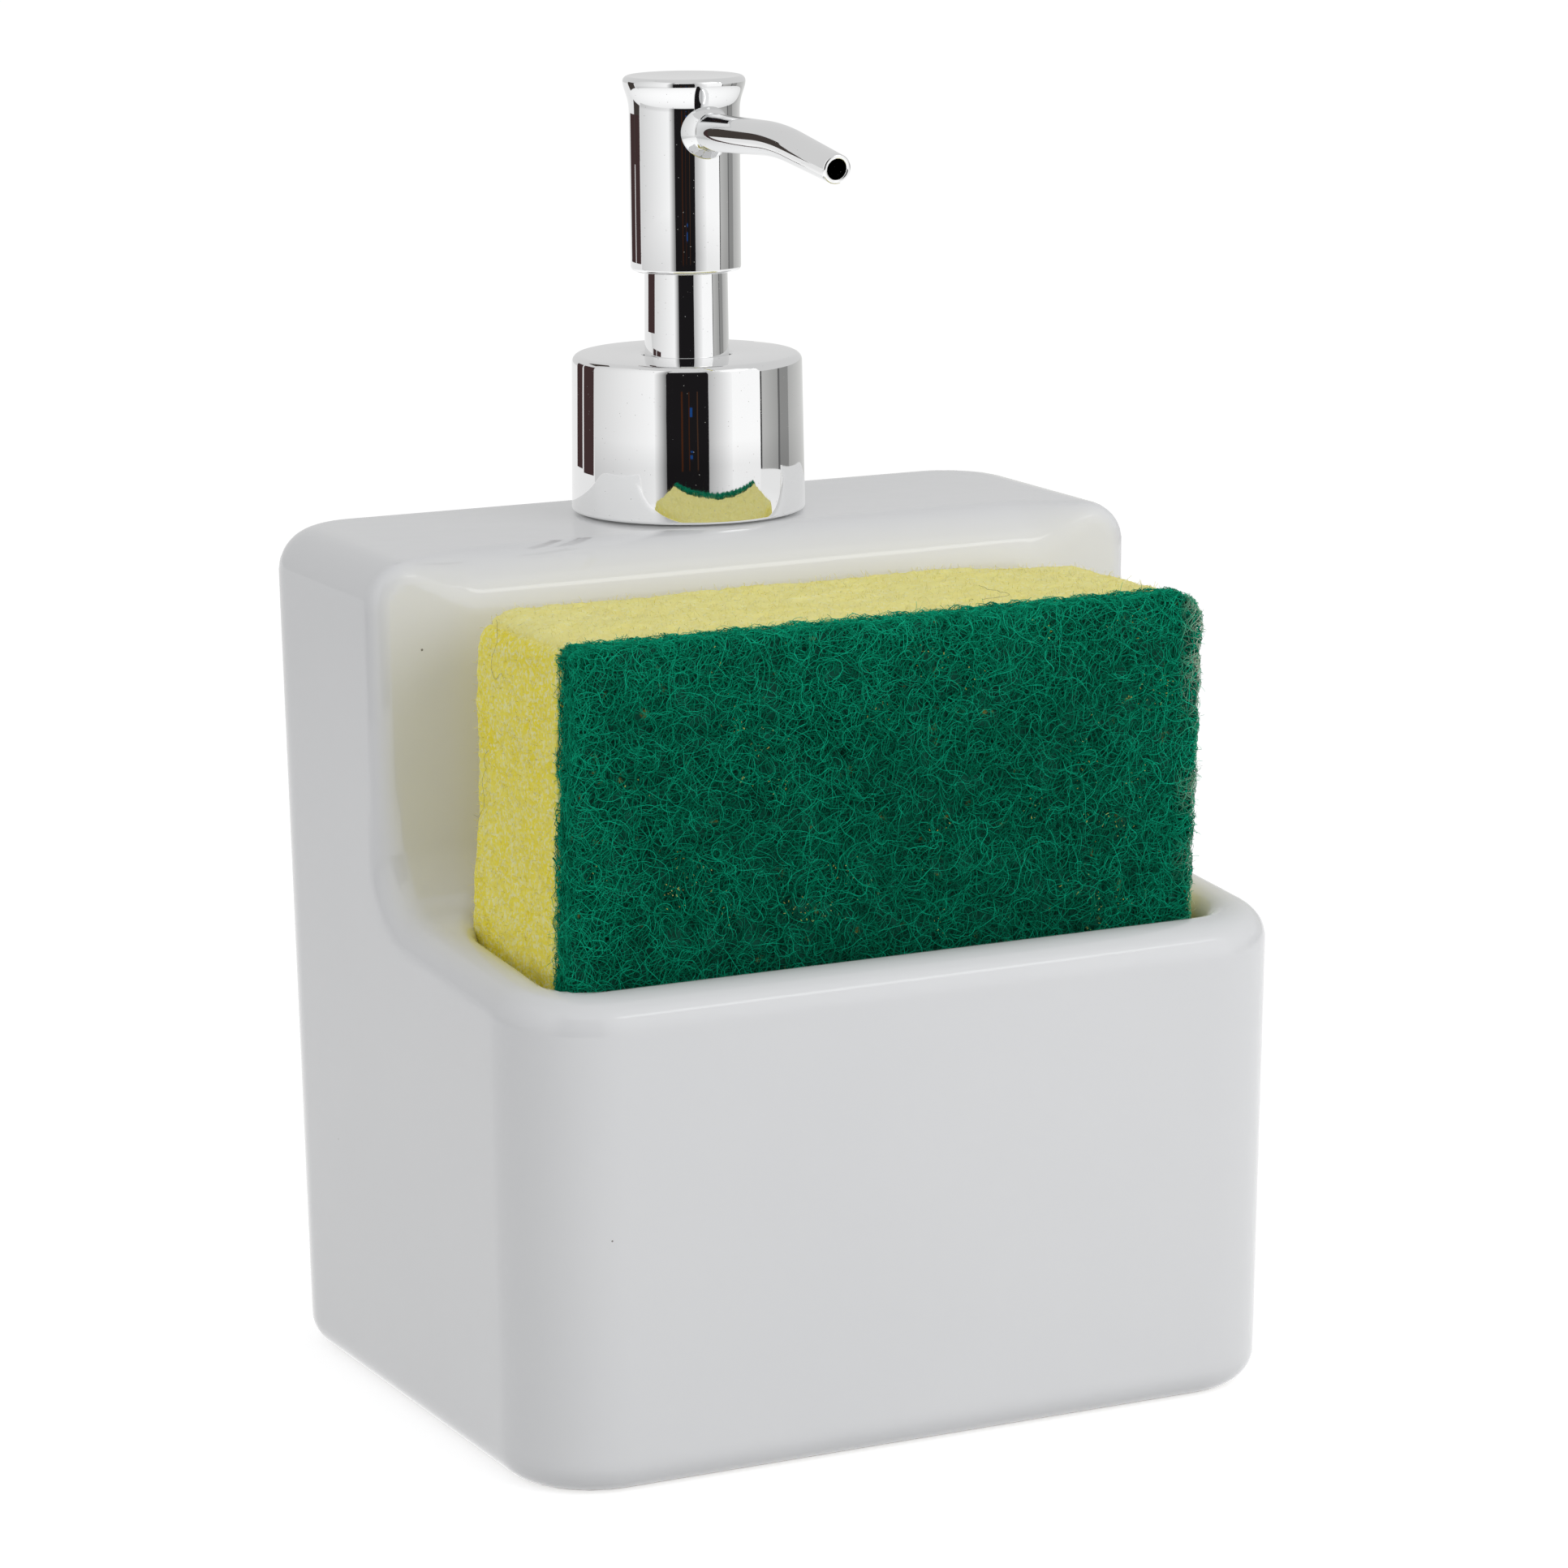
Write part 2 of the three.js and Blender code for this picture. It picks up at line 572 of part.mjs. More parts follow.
// Bush in the barrel's mouth that guides the stem and stops the piston.
function stemGuide() {
  const bore = stemRadius + SEAT_GAP;
  const plug = boreRadius - TIGHT_FIT;
  return revolve(outlineThrough([
    [bore, guideBottom],
    [plug, guideBottom],
    [plug, housingTop],
    [guideRimRadius, housingTop],
    [guideRimRadius, housingTop + GUIDE_RIM],
    [bore, housingTop + GUIDE_RIM],
  ]));
}

// Hollow stem: nose and flange for the spring, and the upper ball's seat in its top.
function stem() {
  const flangeRadius = stemRadius + STEM_FLANGE;
  return revolve(outlineThrough([
    [stemBore, stemFlangeBottom - STEM_NOSE],
    [stemRadius - SLIDE_FIT, stemFlangeBottom - STEM_NOSE],
    [stemRadius - SLIDE_FIT, stemFlangeBottom],
    [flangeRadius, stemFlangeBottom],
    [flangeRadius, pistonBottom],
    [stemRadius, pistonBottom],
    [stemRadius, stemTop],
    [stemBore + outletSeatDepth, stemTop],
    [stemBore, stemTop - outletSeatDepth],
  ]));
}

// Piston seal with a wiping lip at each end.
function pistonSeal() {
  const lip = boreRadius - TIGHT_FIT;
  const bore = stemRadius + TIGHT_FIT;
  const outline = new THREE.Path();
  outline.moveTo(bore, pistonBottom);
  outline.lineTo(lip, pistonBottom);
  outline.quadraticCurveTo(lip - PISTON_WAIST * 2, (pistonBottom + pistonTop) / 2, lip, pistonTop);
  outline.lineTo(bore, pistonTop);
  outline.closePath();
  return revolve(outline, PLAIN_TURN, 6);
}

// Coil between the barrel's seat and the stem's flange.
class Coil extends THREE.Curve {
  getPoint(t, target = new THREE.Vector3()) {
    const radius = stemRadius + STEM_FLANGE - SPRING_WIRE / 2 - TIGHT_FIT;
    const low = springSeat + SPRING_WIRE / 2 + TIGHT_FIT;
    const high = stemFlangeBottom - SPRING_WIRE / 2 - TIGHT_FIT;
    const angle = t * SPRING_TURNS * 2 * Math.PI;
    return target.set(radius * Math.cos(angle), radius * Math.sin(angle), low + (high - low) * t);
  }
}

function returnSpring() {
  const wire = new THREE.Shape().absarc(0, 0, SPRING_WIRE / 2, 0, 2 * Math.PI, false);
  const steps = Math.round(SPRING_TURNS * COIL_STEPS);
  const sweep = { steps, curveSegments: 3, extrudePath: new Coil(), bevelEnabled: false };
  return new THREE.ExtrudeGeometry(wire, sweep);
}

function ball(radius, z) {
  const sphere = new THREE.SphereGeometry(radius, BALL_SIDES, BALL_SIDES / 2);
  return sphere.rotateX(Math.PI / 2).translate(0, 0, z);
}

// Suction tube, cut on the slant at its lower end.
function dipTube() {
  const tube = toSolid(revolve(outlineThrough([
    [DIP_TUBE_BORE / 2, dipTubeBottom],
    [dipTubeRadius, dipTubeBottom],
    [dipTubeRadius, dipTubeTop - SEAT_GAP],
    [DIP_TUBE_BORE / 2, dipTubeTop - SEAT_GAP],
  ])));
  const size = DIP_TUBE_DIAMETER * 4;
  const offcut = new THREE.BoxGeometry(size, size, size).translate(0, 0, -size / 2);
  offcut.rotateX(THREE.MathUtils.degToRad(DIP_TUBE_SLANT));
  const rise = dipTubeRadius * Math.tan(THREE.MathUtils.degToRad(DIP_TUBE_SLANT));
  return toGeometry(tube.subtract(toSolid(offcut.translate(0, 0, dipTubeBottom + rise))));
}

// Polished head: straight tube that flares into a flat, softly rimmed top.
function pumpHead() {
  const topRadius = headRadius + HEAD_FLARE;
  const flareStart = headTop - HEAD_FLARE_HEIGHT;
  const rimZ = headTop - HEAD_RIM;
  const skirtX = headRadius - HEAD_SKIRT_EDGE;
  const outline = new THREE.Path();
  outline.moveTo(0, headTop - HEAD_TOP);
  outline.lineTo(headBore, headTop - HEAD_TOP);
  outline.lineTo(headBore, headBottom);
  outline.lineTo(skirtX, headBottom);
  outline.absarc(skirtX, headBottom + HEAD_SKIRT_EDGE, HEAD_SKIRT_EDGE, -Math.PI / 2, 0, false);
  outline.lineTo(headRadius, flareStart);
  outline.quadraticCurveTo(headRadius, (flareStart + rimZ) / 2, topRadius, rimZ);
  outline.absarc(topRadius - HEAD_RIM, rimZ, HEAD_RIM, 0, Math.PI / 2, false);
  outline.quadraticCurveTo(topRadius / 2, headTop - HEAD_DISH, 0, headTop - HEAD_DISH);
  const shell = toSolid(revolve(outline, FINE_TURN, 3));
  return toGeometry(shell.subtract(toSolid(spoutHole())));
}

// Hole across the head's front, a little wider than the spout.
function spoutHole() {
  const length = headRadius * 2;
  const hole = new THREE.CylinderGeometry(
    SPOUT_ROOT_RADIUS + SEAT_GAP,
    SPOUT_ROOT_RADIUS + SEAT_GAP,
    length,
    PLAIN_TURN,
  );
  return hole.translate(0, -length / 2, spoutZ);
}

// White core pressed into the head: socket for the stem, ball chamber and way to the spout.
function actuatorCore() {
  const socket = stemRadius + TIGHT_FIT;
  const core = toSolid(revolve(outlineThrough([
    [0, chamberTop],
    [chamberRadius, chamberTop],
    [chamberRadius, stemTop + TIGHT_FIT],
    [socket, stemTop + TIGHT_FIT],
    [socket, coreBottom],
    [coreRadius, coreBottom],
    [coreRadius, coreTop],
    [0, coreTop],
  ])));
  return toGeometry(core.subtract(toSolid(spoutHole())));
}

// Tapered, bent tube with an open bore, and a trumpet foot that fits the head's round front.
function spout() {
  const start = new THREE.Vector3(0, -chamberRadius - SLIDE_FIT, spoutZ);
  const bend = new THREE.Vector3(0, -SPOUT_BEND, spoutZ + SPOUT_LIFT);
  const tip = new THREE.Vector3(0, -SPOUT_REACH, spoutZ + SPOUT_LIFT - SPOUT_DROP);
  const before = bend.clone().sub(start).setLength(SPOUT_BEND_LENGTH / 2).negate().add(bend);
  const after = tip.clone().sub(bend).setLength(SPOUT_BEND_LENGTH / 2).add(bend);
  const path = new THREE.CurvePath();
  path.add(new THREE.LineCurve3(start, before));
  path.add(new THREE.QuadraticBezierCurve3(before, bend, after));
  path.add(new THREE.LineCurve3(after, tip));
  const stops = [0, 0.2, 0.4, 0.5, 0.54, 0.58, 0.62, 0.66, 0.7, 0.8, 1];
  const sideways = new THREE.Vector3(1, 0, 0);
  const ring = (u, radius) => {
    const centre = path.getPointAt(u);
    const upward = sideways.clone().cross(path.getTangentAt(u));
    return Array.from({ length: SPOUT_SIDES }, (_, i) => {
      const angle = (i / SPOUT_SIDES) * 2 * Math.PI;
      const across = sideways.clone().multiplyScalar(radius * Math.cos(angle));
      return centre.clone().add(across).addScaledVector(upward, radius * Math.sin(angle));
    });
  };
  const taper = (u) => THREE.MathUtils.lerp(SPOUT_ROOT_RADIUS, SPOUT_TIP_RADIUS, u);
  const outside = stops.map((u) => ring(u, taper(u)));
  const inside = [...stops].reverse().map((u) => ring(u, SPOUT_BORE_RADIUS));
  const tube = toSolid(skin([...outside, ...inside], true));
  const footEnd = headRadius + SPOUT_FILLET;
  const footInner = (SPOUT_ROOT_RADIUS + SPOUT_BORE_RADIUS) / 2;
  const footOutline = new THREE.Path();
  footOutline.moveTo(footInner, -headBore);
  footOutline.lineTo(SPOUT_ROOT_RADIUS + SPOUT_FILLET, -headBore);
  footOutline.lineTo(SPOUT_ROOT_RADIUS + SPOUT_FILLET, -headRadius);
  footOutline.absarc(SPOUT_ROOT_RADIUS + SPOUT_FILLET, -footEnd, SPOUT_FILLET, Math.PI / 2, Math.PI, false);
  footOutline.lineTo(footInner, -footEnd - SEAT_GAP);
  footOutline.closePath();
  const foot = new THREE.LatheGeometry(footOutline.getPoints(3), SPOUT_SIDES).translate(0, 0, spoutZ);
  const headOutside = cylinder(headRadius + TIGHT_FIT, headBottom, headTop, FINE_TURN);
  return toGeometry(tube.add(toSolid(foot).subtract(toSolid(headOutside))));
}

// Sponge: foam block and scouring pad, glued flat together, standing in the pocket.

function spongeLayer(thickness, backY) {
  const half = pocketHalf(pocketFloor) - SPONGE_SIDE_ROOM;
  const top = SPONGE_HEIGHT;
  const round = SPONGE_CORNER;
  const cut = SPONGE_CUT_CORNER;
  const outline = new THREE.Shape();
  outline.moveTo(round - half, 0);
  outline.lineTo(half - round, 0);
  outline.absarc(half - round, round, round, -Math.PI / 2, 0, false);
  outline.lineTo(half, top - round);
  outline.absarc(half - round, top - round, round, 0, Math.PI / 2, false);
  outline.lineTo(cut - half, top);
  outline.absarc(cut - half, top - cut, cut, Math.PI / 2, Math.PI, false);
  outline.lineTo(-half, round);
  outline.absarc(round - half, round, round, Math.PI, Math.PI * 1.5, false);
  const slab = { depth: thickness, curveSegments: 6, bevelEnabled: false };
  const layer = new THREE.ExtrudeGeometry(outline, slab);
  layer.rotateX(Math.PI / 2).translate(0, backY, 0);
  const slope = Math.tan(THREE.MathUtils.degToRad(SPONGE_SLUMP));
  const forward = Math.tan(THREE.MathUtils.degToRad(SPONGE_LEAN));
  layer.applyMatrix4(new THREE.Matrix4().makeShear(0, 0, 0, 0, slope, -forward));
  const padFront = pocketFront(pocketFloor) + SPONGE_FRONT_ROOM;
  const foamBack = padFront + PAD_THICKNESS + GLUE_LINE + FOAM_THICKNESS;
  return layer.translate(SPONGE_SHIFT, foamBack, pocketFloor + SEAT_GAP);
}

// Finishes

function finish(color, roughness, metalness) {
  return new THREE.MeshStandardMaterial({ color, roughness, metalness });
}

const glaze = finish(0xe9eaec, 0.12, 0);
const chrome = finish(0xd5d6d8, 0.06, 1);
const whitePlastic = finish(0xe6e6e2, 0.45, 0);
const naturalPlastic = finish(0xd9dcd8, 0.35, 0);
const steel = finish(0xb4b6b8, 0.3, 1);
const rubber = finish(0x3c3c3c, 0.8, 0);
const foamYellow = finish(0xe6d95a, 0.95, 0);
const scourGreen = finish(0x0b5a42, 0.95, 0);

// Assembly

const caddy = new THREE.Group();
const pump = new THREE.Group();
pump.position.y = pumpY;
caddy.add(pump);

// The walls lean out more at the taller back, so the foot sits a little forward of the middle.
caddy.position.y = (lean(RIM_HEIGHT - edgeRound) - lean(deck - TOP_ROUND)) / 2;

function place(group, name, geometry, material) {
  const mesh = new THREE.Mesh(weld(geometry), material);
  mesh.name = name;
  group.add(mesh);
}

place(caddy, 'ceramic_body', ceramicBody(), glaze);
place(pump, 'neck_insert', neckInsert(), whitePlastic);
place(pump, 'pump_gasket', pumpGasket(), rubber);
place(pump, 'pump_housing', pumpHousing(), naturalPlastic);
place(pump, 'dip_tube', dipTube(), naturalPlastic);
place(pump, 'inlet_ball', ball(inletRadius, inletBallZ), steel);
place(pump, 'return_spring', returnSpring(), steel);
place(pump, 'stem_guide', stemGuide(), whitePlastic);
place(pump, 'stem', stem(), naturalPlastic);
place(pump, 'piston_seal', pistonSeal(), rubber);
place(pump, 'outlet_ball', ball(outletRadius, outletBallZ), steel);
place(pump, 'inner_closure', innerClosure(), whitePlastic);
place(pump, 'collar_shell', collarShell(), chrome);
place(pump, 'guide_sleeve', guideSleeve(), chrome);
place(pump, 'pump_head', pumpHead(), chrome);
place(pump, 'actuator_core', actuatorCore(), whitePlastic);
place(pump, 'spout', spout(), chrome);
place(caddy, 'foam_sponge', spongeLayer(FOAM_THICKNESS, 0), foamYellow);
place(caddy, 'scour_pad', spongeLayer(PAD_THICKNESS, -FOAM_THICKNESS - GLUE_LINE), scourGreen);

export default caddy;
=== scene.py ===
# %% [markdown]
# # A ceramic sink caddy, dressed around its CAD frame
# The object is one glazed casting: a soap dispenser block at the back with a chrome pump, and an
# open pocket in front that holds a two-layer sponge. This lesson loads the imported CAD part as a
# fixed frame, then lays a finer surface and a finish over each piece that can be seen.

# %% Load the frame
import json
import math

import bpy
import numpy as np
from mathutils import Matrix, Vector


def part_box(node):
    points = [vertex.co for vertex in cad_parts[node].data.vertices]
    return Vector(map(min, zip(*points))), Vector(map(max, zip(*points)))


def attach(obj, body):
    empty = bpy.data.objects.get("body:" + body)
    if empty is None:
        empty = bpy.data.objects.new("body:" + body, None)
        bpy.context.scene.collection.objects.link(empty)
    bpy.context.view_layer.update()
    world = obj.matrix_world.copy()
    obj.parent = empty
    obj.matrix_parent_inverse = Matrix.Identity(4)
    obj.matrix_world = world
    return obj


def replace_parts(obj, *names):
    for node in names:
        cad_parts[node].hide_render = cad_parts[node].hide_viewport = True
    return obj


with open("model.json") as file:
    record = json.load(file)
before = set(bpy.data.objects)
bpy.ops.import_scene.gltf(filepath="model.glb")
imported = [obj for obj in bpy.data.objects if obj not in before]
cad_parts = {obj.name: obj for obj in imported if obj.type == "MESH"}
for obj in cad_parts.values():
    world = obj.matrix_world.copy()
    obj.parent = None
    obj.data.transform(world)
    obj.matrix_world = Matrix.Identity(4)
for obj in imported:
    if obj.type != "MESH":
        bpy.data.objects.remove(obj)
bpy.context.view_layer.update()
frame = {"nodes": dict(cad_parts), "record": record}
MM = 0.001
BODY_OF = {node: body for body, nodes in frame["record"]["behaviour"]["bodies"].items() for node in nodes}


def in_scene(name, data):
    """A new object in the scene, holding a mesh, a lens or a lamp."""
    thing = bpy.data.objects.new(name, data)
    bpy.context.scene.collection.objects.link(thing)
    return thing


def cad_box(node):
    """Lowest and highest corner of a CAD node, in millimetres."""
    low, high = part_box(node)
    return np.array(low) / MM, np.array(high) / MM


# %% [markdown]
# ## Camera
# The photograph looks at the caddy's left front corner from a little above, through a long lens, so
# upright edges stay nearly parallel. The camera was solved from the object's outline in the
# photograph: three angles, a place, and a focal length in pixels that becomes a lens in millimetres.

# %% Camera
PHOTO_PIXELS = 1932
FOCAL_PIXELS = 6927.56
CAMERA_PLACE = np.array([-338.37, -689.76, 244.67])
CAMERA_YAW, CAMERA_PITCH, CAMERA_ROLL = np.radians([26.2611, 11.8714, -0.4398])

forward = np.array([
    math.sin(CAMERA_YAW) * math.cos(CAMERA_PITCH),
    math.cos(CAMERA_YAW) * math.cos(CAMERA_PITCH),
    -math.sin(CAMERA_PITCH),
])
level_right = np.array([math.cos(CAMERA_YAW), -math.sin(CAMERA_YAW), 0.0])
level_up = np.cross(level_right, forward)
camera_right = math.cos(CAMERA_ROLL) * level_right + math.sin(CAMERA_ROLL) * level_up
camera_up = np.cross(camera_right, forward)

lens = bpy.data.cameras.new("photo_camera")
lens.sensor_width = 36.0
lens.lens = FOCAL_PIXELS / PHOTO_PIXELS * lens.sensor_width
lens.clip_start, lens.clip_end = 0.01, 20.0
camera = in_scene("photo_camera", lens)
turned = np.eye(4)
turned[:3, :3] = np.stack([camera_right, camera_up, -forward], axis=1)
turned[:3, 3] = CAMERA_PLACE * MM
camera.matrix_world = Matrix(turned.tolist())
bpy.context.scene.camera = camera
print(f"lens {lens.lens:.1f} mm")

# %% [markdown]
# ## Turning arrays into meshes
# Every new piece is worked out in millimetres as numpy arrays and becomes a mesh in one place. Points
# that fall together, at a pole or along a seam, are merged, faces that lose a corner become triangles,
# and the whole skin is turned round if its signed volume says that it is inside out.


# %% Mesh helpers
def grid_faces(rows, cols, wrap_rows=True, wrap_cols=True):
    """Four-cornered faces of a grid of points: each joins (r, c), (r, c+1), (r+1, c+1) and (r+1, c)."""
    r = np.arange(rows if wrap_rows else rows - 1)
    c = np.arange(cols if wrap_cols else cols - 1)
    r, c = np.meshgrid(r, c, indexing="ij")
    next_r, next_c = (r + 1) % rows, (c + 1) % cols
    quads = [r * cols + c, r * cols + next_c, next_r * cols + next_c, next_r * cols + c]
    return np.stack(quads, axis=-1).reshape(-1, 4)


def unit(v):
    """Vectors scaled to length one: v / |v|."""
    return v / np.maximum(np.linalg.norm(v, axis=-1, keepdims=True), 1e-9)


def merged(points, quads):
    """The same skin with coinciding points joined; returns points, quads and triangles."""
    keys = np.round(points, 4)
    _, first, place = np.unique(keys, axis=0, return_index=True, return_inverse=True)
    quads = place.reshape(-1)[quads]
    follows = np.roll(quads, -1, axis=1) == quads
    lost = follows.sum(axis=1)
    pinched = quads[lost == 1]
    keep = ~follows[lost == 1]
    triangles = pinched[keep].reshape(-1, 3)
    triangles = triangles[(triangles[:, 0] != triangles[:, 2])]
    return points[first], quads[lost == 0], triangles


def signed_volume(points, faces):
    """Sum of the tetrahedra from the origin to a fan of triangles on each face, over six."""
    total = 0.0
    for k in range(1, faces.shape[1] - 1):
        a, b, c = points[faces[:, 0]], points[faces[:, k]], points[faces[:, k + 1]]
        total += np.einsum("ij,ij->i", a, np.cross(b, c)).sum() / 6
    return total


def add_piece(name, points, quads, node, triangles=None, join=True, sharp=None):
    """A mesh object from points in millimetres, riding on the body that holds the CAD node."""
    points = np.asarray(points, float).reshape(-1, 3)
    triangles = np.zeros((0, 3), int) if triangles is None else triangles
    if join:
        points, quads, more = merged(points, quads)
        triangles = np.concatenate([triangles, more])
    if signed_volume(points, quads) + signed_volume(points, triangles) < 0:
        quads, triangles = quads[:, ::-1], triangles[:, ::-1]
    sizes = np.concatenate([np.full(len(quads), 4), np.full(len(triangles), 3)]).astype(np.int32)
    corners = np.concatenate([quads.ravel(), triangles.ravel()]).astype(np.int32)
    mesh = bpy.data.meshes.new(name)
    mesh.vertices.add(len(points))
    mesh.vertices.foreach_set("co", (points * MM).astype(np.float32).ravel())
    mesh.loops.add(len(corners))
    mesh.loops.foreach_set("vertex_index", corners)
    mesh.polygons.add(len(sizes))
    mesh.polygons.foreach_set("loop_start", np.concatenate([[0], np.cumsum(sizes)[:-1]]).astype(np.int32))
    mesh.polygons.foreach_set("loop_total", sizes)
    mesh.polygons.foreach_set("use_smooth", np.ones(len(sizes), bool))
    mesh.update(calc_edges=True)
    mesh.validate()
    if sharp:
        mesh.set_sharp_from_angle(angle=math.radians(sharp))
    piece = in_scene(name, mesh)
    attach(piece, BODY_OF[node])
    print(f"{name}: {len(points)} points, {len(quads) * 2 + len(triangles)} triangles")
    return piece


def set_values(piece, name, values):
    """Stores one number per point under a name that a material can read."""
    layer = piece.data.attributes.new(name, "FLOAT", "POINT")
    layer.data.foreach_set("value", values.astype(np.float32).ravel())


def paint(piece, material):
    """Gives a piece, or a CAD node, one material."""
    piece.data.materials.clear()
    piece.data.materials.append(material)


# %% [markdown]
# ## The glazed casting
# The body is slip-cast: every edge is soft, and one rounded edge runs along the pocket's rim, up a
# hollow step and on up the dispenser's front. A loft would crease where those roundings meet, and a
# subdivision cage would wander off the CAD sizes. A field does neither: the casting is a distance that
# is negative inside the clay, and two rules join simple distances with a true quarter round, one for
# inner corners and one for outer corners. The surface is then where the field is zero.

# %% Rules for joining distances
BODY_HALF, BODY_FRONT, BODY_BACK, DECK = 57.0, -46.0, 46.0, 118.4
WALL_DRAFT, CORNER, TOP_ROUND, FOOT_ROUND = 0.0144, 13.5, 6.2, 4.5
RIM, RIM_FALL, RIM_WALL, RIM_OUTER, RIM_INNER = 71.1, 0.075, 8.4, 4.6, 3.4
POCKET_FLOOR, POCKET_DRAFT, POCKET_CORNER, FLOOR_ROUND = 44.8, 0.012, 5.0, 3.5
BLOCK_FRONT, STEP_HOLLOW, BLOCK_EDGE, DECK_EDGE = 2.7, 8.0, 2.9, 8.5
EDGE_FROM, EDGE_OVER = 74.0, 14.0  # heights over which the rim's edge turns into the block's
DECK_EDGE_FROM, DECK_EDGE_OVER, DECK_EDGE_ENDS = 100.0, 12.0, 54.0  # where the deck's edge sets in
HORN_IN, HORN_RUN = 9.0, 17.0  # how far the pocket's back corners are drawn in, and over what length
SHELL_WALL, ROOF_WALL, RESERVOIR_CORNER, RESERVOIR_ROUND = 5.0, 6.0, 8.0, 4.0
FOOT_RING, FOOT_RECESS = 13.5, 1.2
HOLLOW_EDGE, RECESS_EDGE = 0.8, 0.6  # roundings where reservoir and foot recess cut the clay
PUMP_Y = 26.4  # pump axis behind the foot's middle
PUMP_AXIS = sum(cad_box("collar_shell"))[:2] / 2
FOOT_Y = PUMP_AXIS[1] - PUMP_Y  # the foot's middle: the back wall leans out further than the front
NECK_HOLE = 12.45


def smooth(t):
    """Soft start and end for a share from 0 to 1: 3t^2 - 2t^3."""
    return t * t * (3 - 2 * t)


def round_union(a, b, radius):
    """Nearer of two shapes, their corner filled: max(r, min(a, b)) - |(r - a, r - b)| over 0."""
    filled = np.hypot(np.maximum(radius - a, 0), np.maximum(radius - b, 0))
    return np.maximum(radius, np.minimum(a, b)) - filled


def round_meet(a, b, radius):
    """Overlap of two shapes, its edge taken off: min(-r, max(a, b)) + |(r + a, r + b)| over 0."""
    taken = np.hypot(np.maximum(radius + a, 0), np.maximum(radius + b, 0))
    return np.minimum(-radius, np.maximum(a, b)) + taken


def upright_wall(x, y, half, front, back, corner):
    """Distance to a rounded rectangle seen from above: the rectangle shrunk by its corner, then grown."""
    across = np.abs(x) - (half - corner)
    along = np.abs(y - (front + back) / 2) - ((back - front) / 2 - corner)
    outside = np.hypot(np.maximum(across, 0), np.maximum(along, 0))
    return outside + np.minimum(np.maximum(across, along), 0) - corner


# %% The casting as one field
def chamber(x, y, z, half, front, back, roof):
    """Distance to a rounded hollow of the reservoir, from the bottom wall up to the wall under a roof."""
    walls = upright_wall(x, y, half, front, back, RESERVOIR_CORNER)
    walls = round_meet(walls, z - (roof - ROOF_WALL), RESERVOIR_ROUND)
    return round_meet(walls, SHELL_WALL - z, RESERVOIR_ROUND)


def casting(p):
    """Distance to the glazed clay in mm: outer block, less step, pocket, reservoir and neck hole."""
    x, y, z = p[..., 0], p[..., 1] - FOOT_Y, p[..., 2]
    lean = WALL_DRAFT * z
    block = upright_wall(x, y, BODY_HALF + lean, BODY_FRONT - lean, BODY_BACK + lean, CORNER)
    block = round_meet(block, z - DECK, TOP_ROUND)
    block = round_meet(block, -z, FOOT_ROUND)
    mouth_lean = WALL_DRAFT * (RIM - RIM_INNER)
    close_in = POCKET_DRAFT * np.maximum(RIM - RIM_INNER - z, 0)
    horn = HORN_IN * np.clip((y - BLOCK_FRONT + HORN_RUN) / HORN_RUN, 0, 1) ** 2
    half = BODY_HALF + mouth_lean - RIM_WALL - close_in - horn
    front = BODY_FRONT - mouth_lean + RIM_WALL + close_in
    pocket = upright_wall(x, y, half, front, BODY_BACK, POCKET_CORNER)
    pocket = round_meet(pocket, POCKET_FLOOR - z, FLOOR_ROUND)
    rim = RIM + RIM_FALL * np.minimum(y - BLOCK_FRONT, 0)
    cut = round_union(rim - z, pocket, RIM_INNER)
    cut = round_meet(cut, y - BLOCK_FRONT, STEP_HOLLOW)
    edge = RIM_OUTER + (BLOCK_EDGE - RIM_OUTER) * smooth(np.clip((z - EDGE_FROM) / EDGE_OVER, 0, 1))
    up = np.clip((z - DECK_EDGE_FROM) / DECK_EDGE_OVER, 0, 1)
    middle = up * np.clip((DECK_EDGE_ENDS - np.abs(x)) / DECK_EDGE_OVER, 0, 1)
    edge = edge + (DECK_EDGE - BLOCK_EDGE) * smooth(middle)
    clay = round_meet(block, -cut, edge)
    half, back = BODY_HALF + lean - SHELL_WALL, BODY_BACK + lean - SHELL_WALL
    behind = chamber(x, y, z, half, BLOCK_FRONT + SHELL_WALL, back, DECK)
    under = chamber(x, y, z, half, BODY_FRONT - lean + SHELL_WALL, back, POCKET_FLOOR)
    neck = np.maximum(np.hypot(x, y - PUMP_Y) - NECK_HOLE, DECK - 2 * ROOF_WALL - z)
    hollow = np.minimum(np.minimum(behind, under), neck)
    clay = round_meet(clay, -hollow, HOLLOW_EDGE)
    ring = upright_wall(x, y, BODY_HALF - FOOT_RING, BODY_FRONT + FOOT_RING, BODY_BACK - FOOT_RING,
                        CORNER - FOOT_ROUND)
    return round_meet(clay, -np.maximum(ring, z - FOOT_RECESS), RECESS_EDGE)


# %% [markdown]
# A field has no faces yet. The surface net lays a grid through space, puts one point in each cell that
# the surface passes through, and joins the four cells round every grid edge that it crosses. The points
# are then evened out and slid along the field's slope until they lie on the surface exactly, and the
# slope itself gives the normals, so that the glaze mirrors the room without a ripple.

# %% Surface net
GRID_STEP = 1.25


def slope(field, p, reach=0.02):
    """Gradient of a field by central differences: (f(p + e) - f(p - e)) / 2e along each axis."""
    steps = np.eye(3) * reach
    return np.stack([field(p + e) - field(p - e) for e in steps], axis=-1) / (2 * reach)


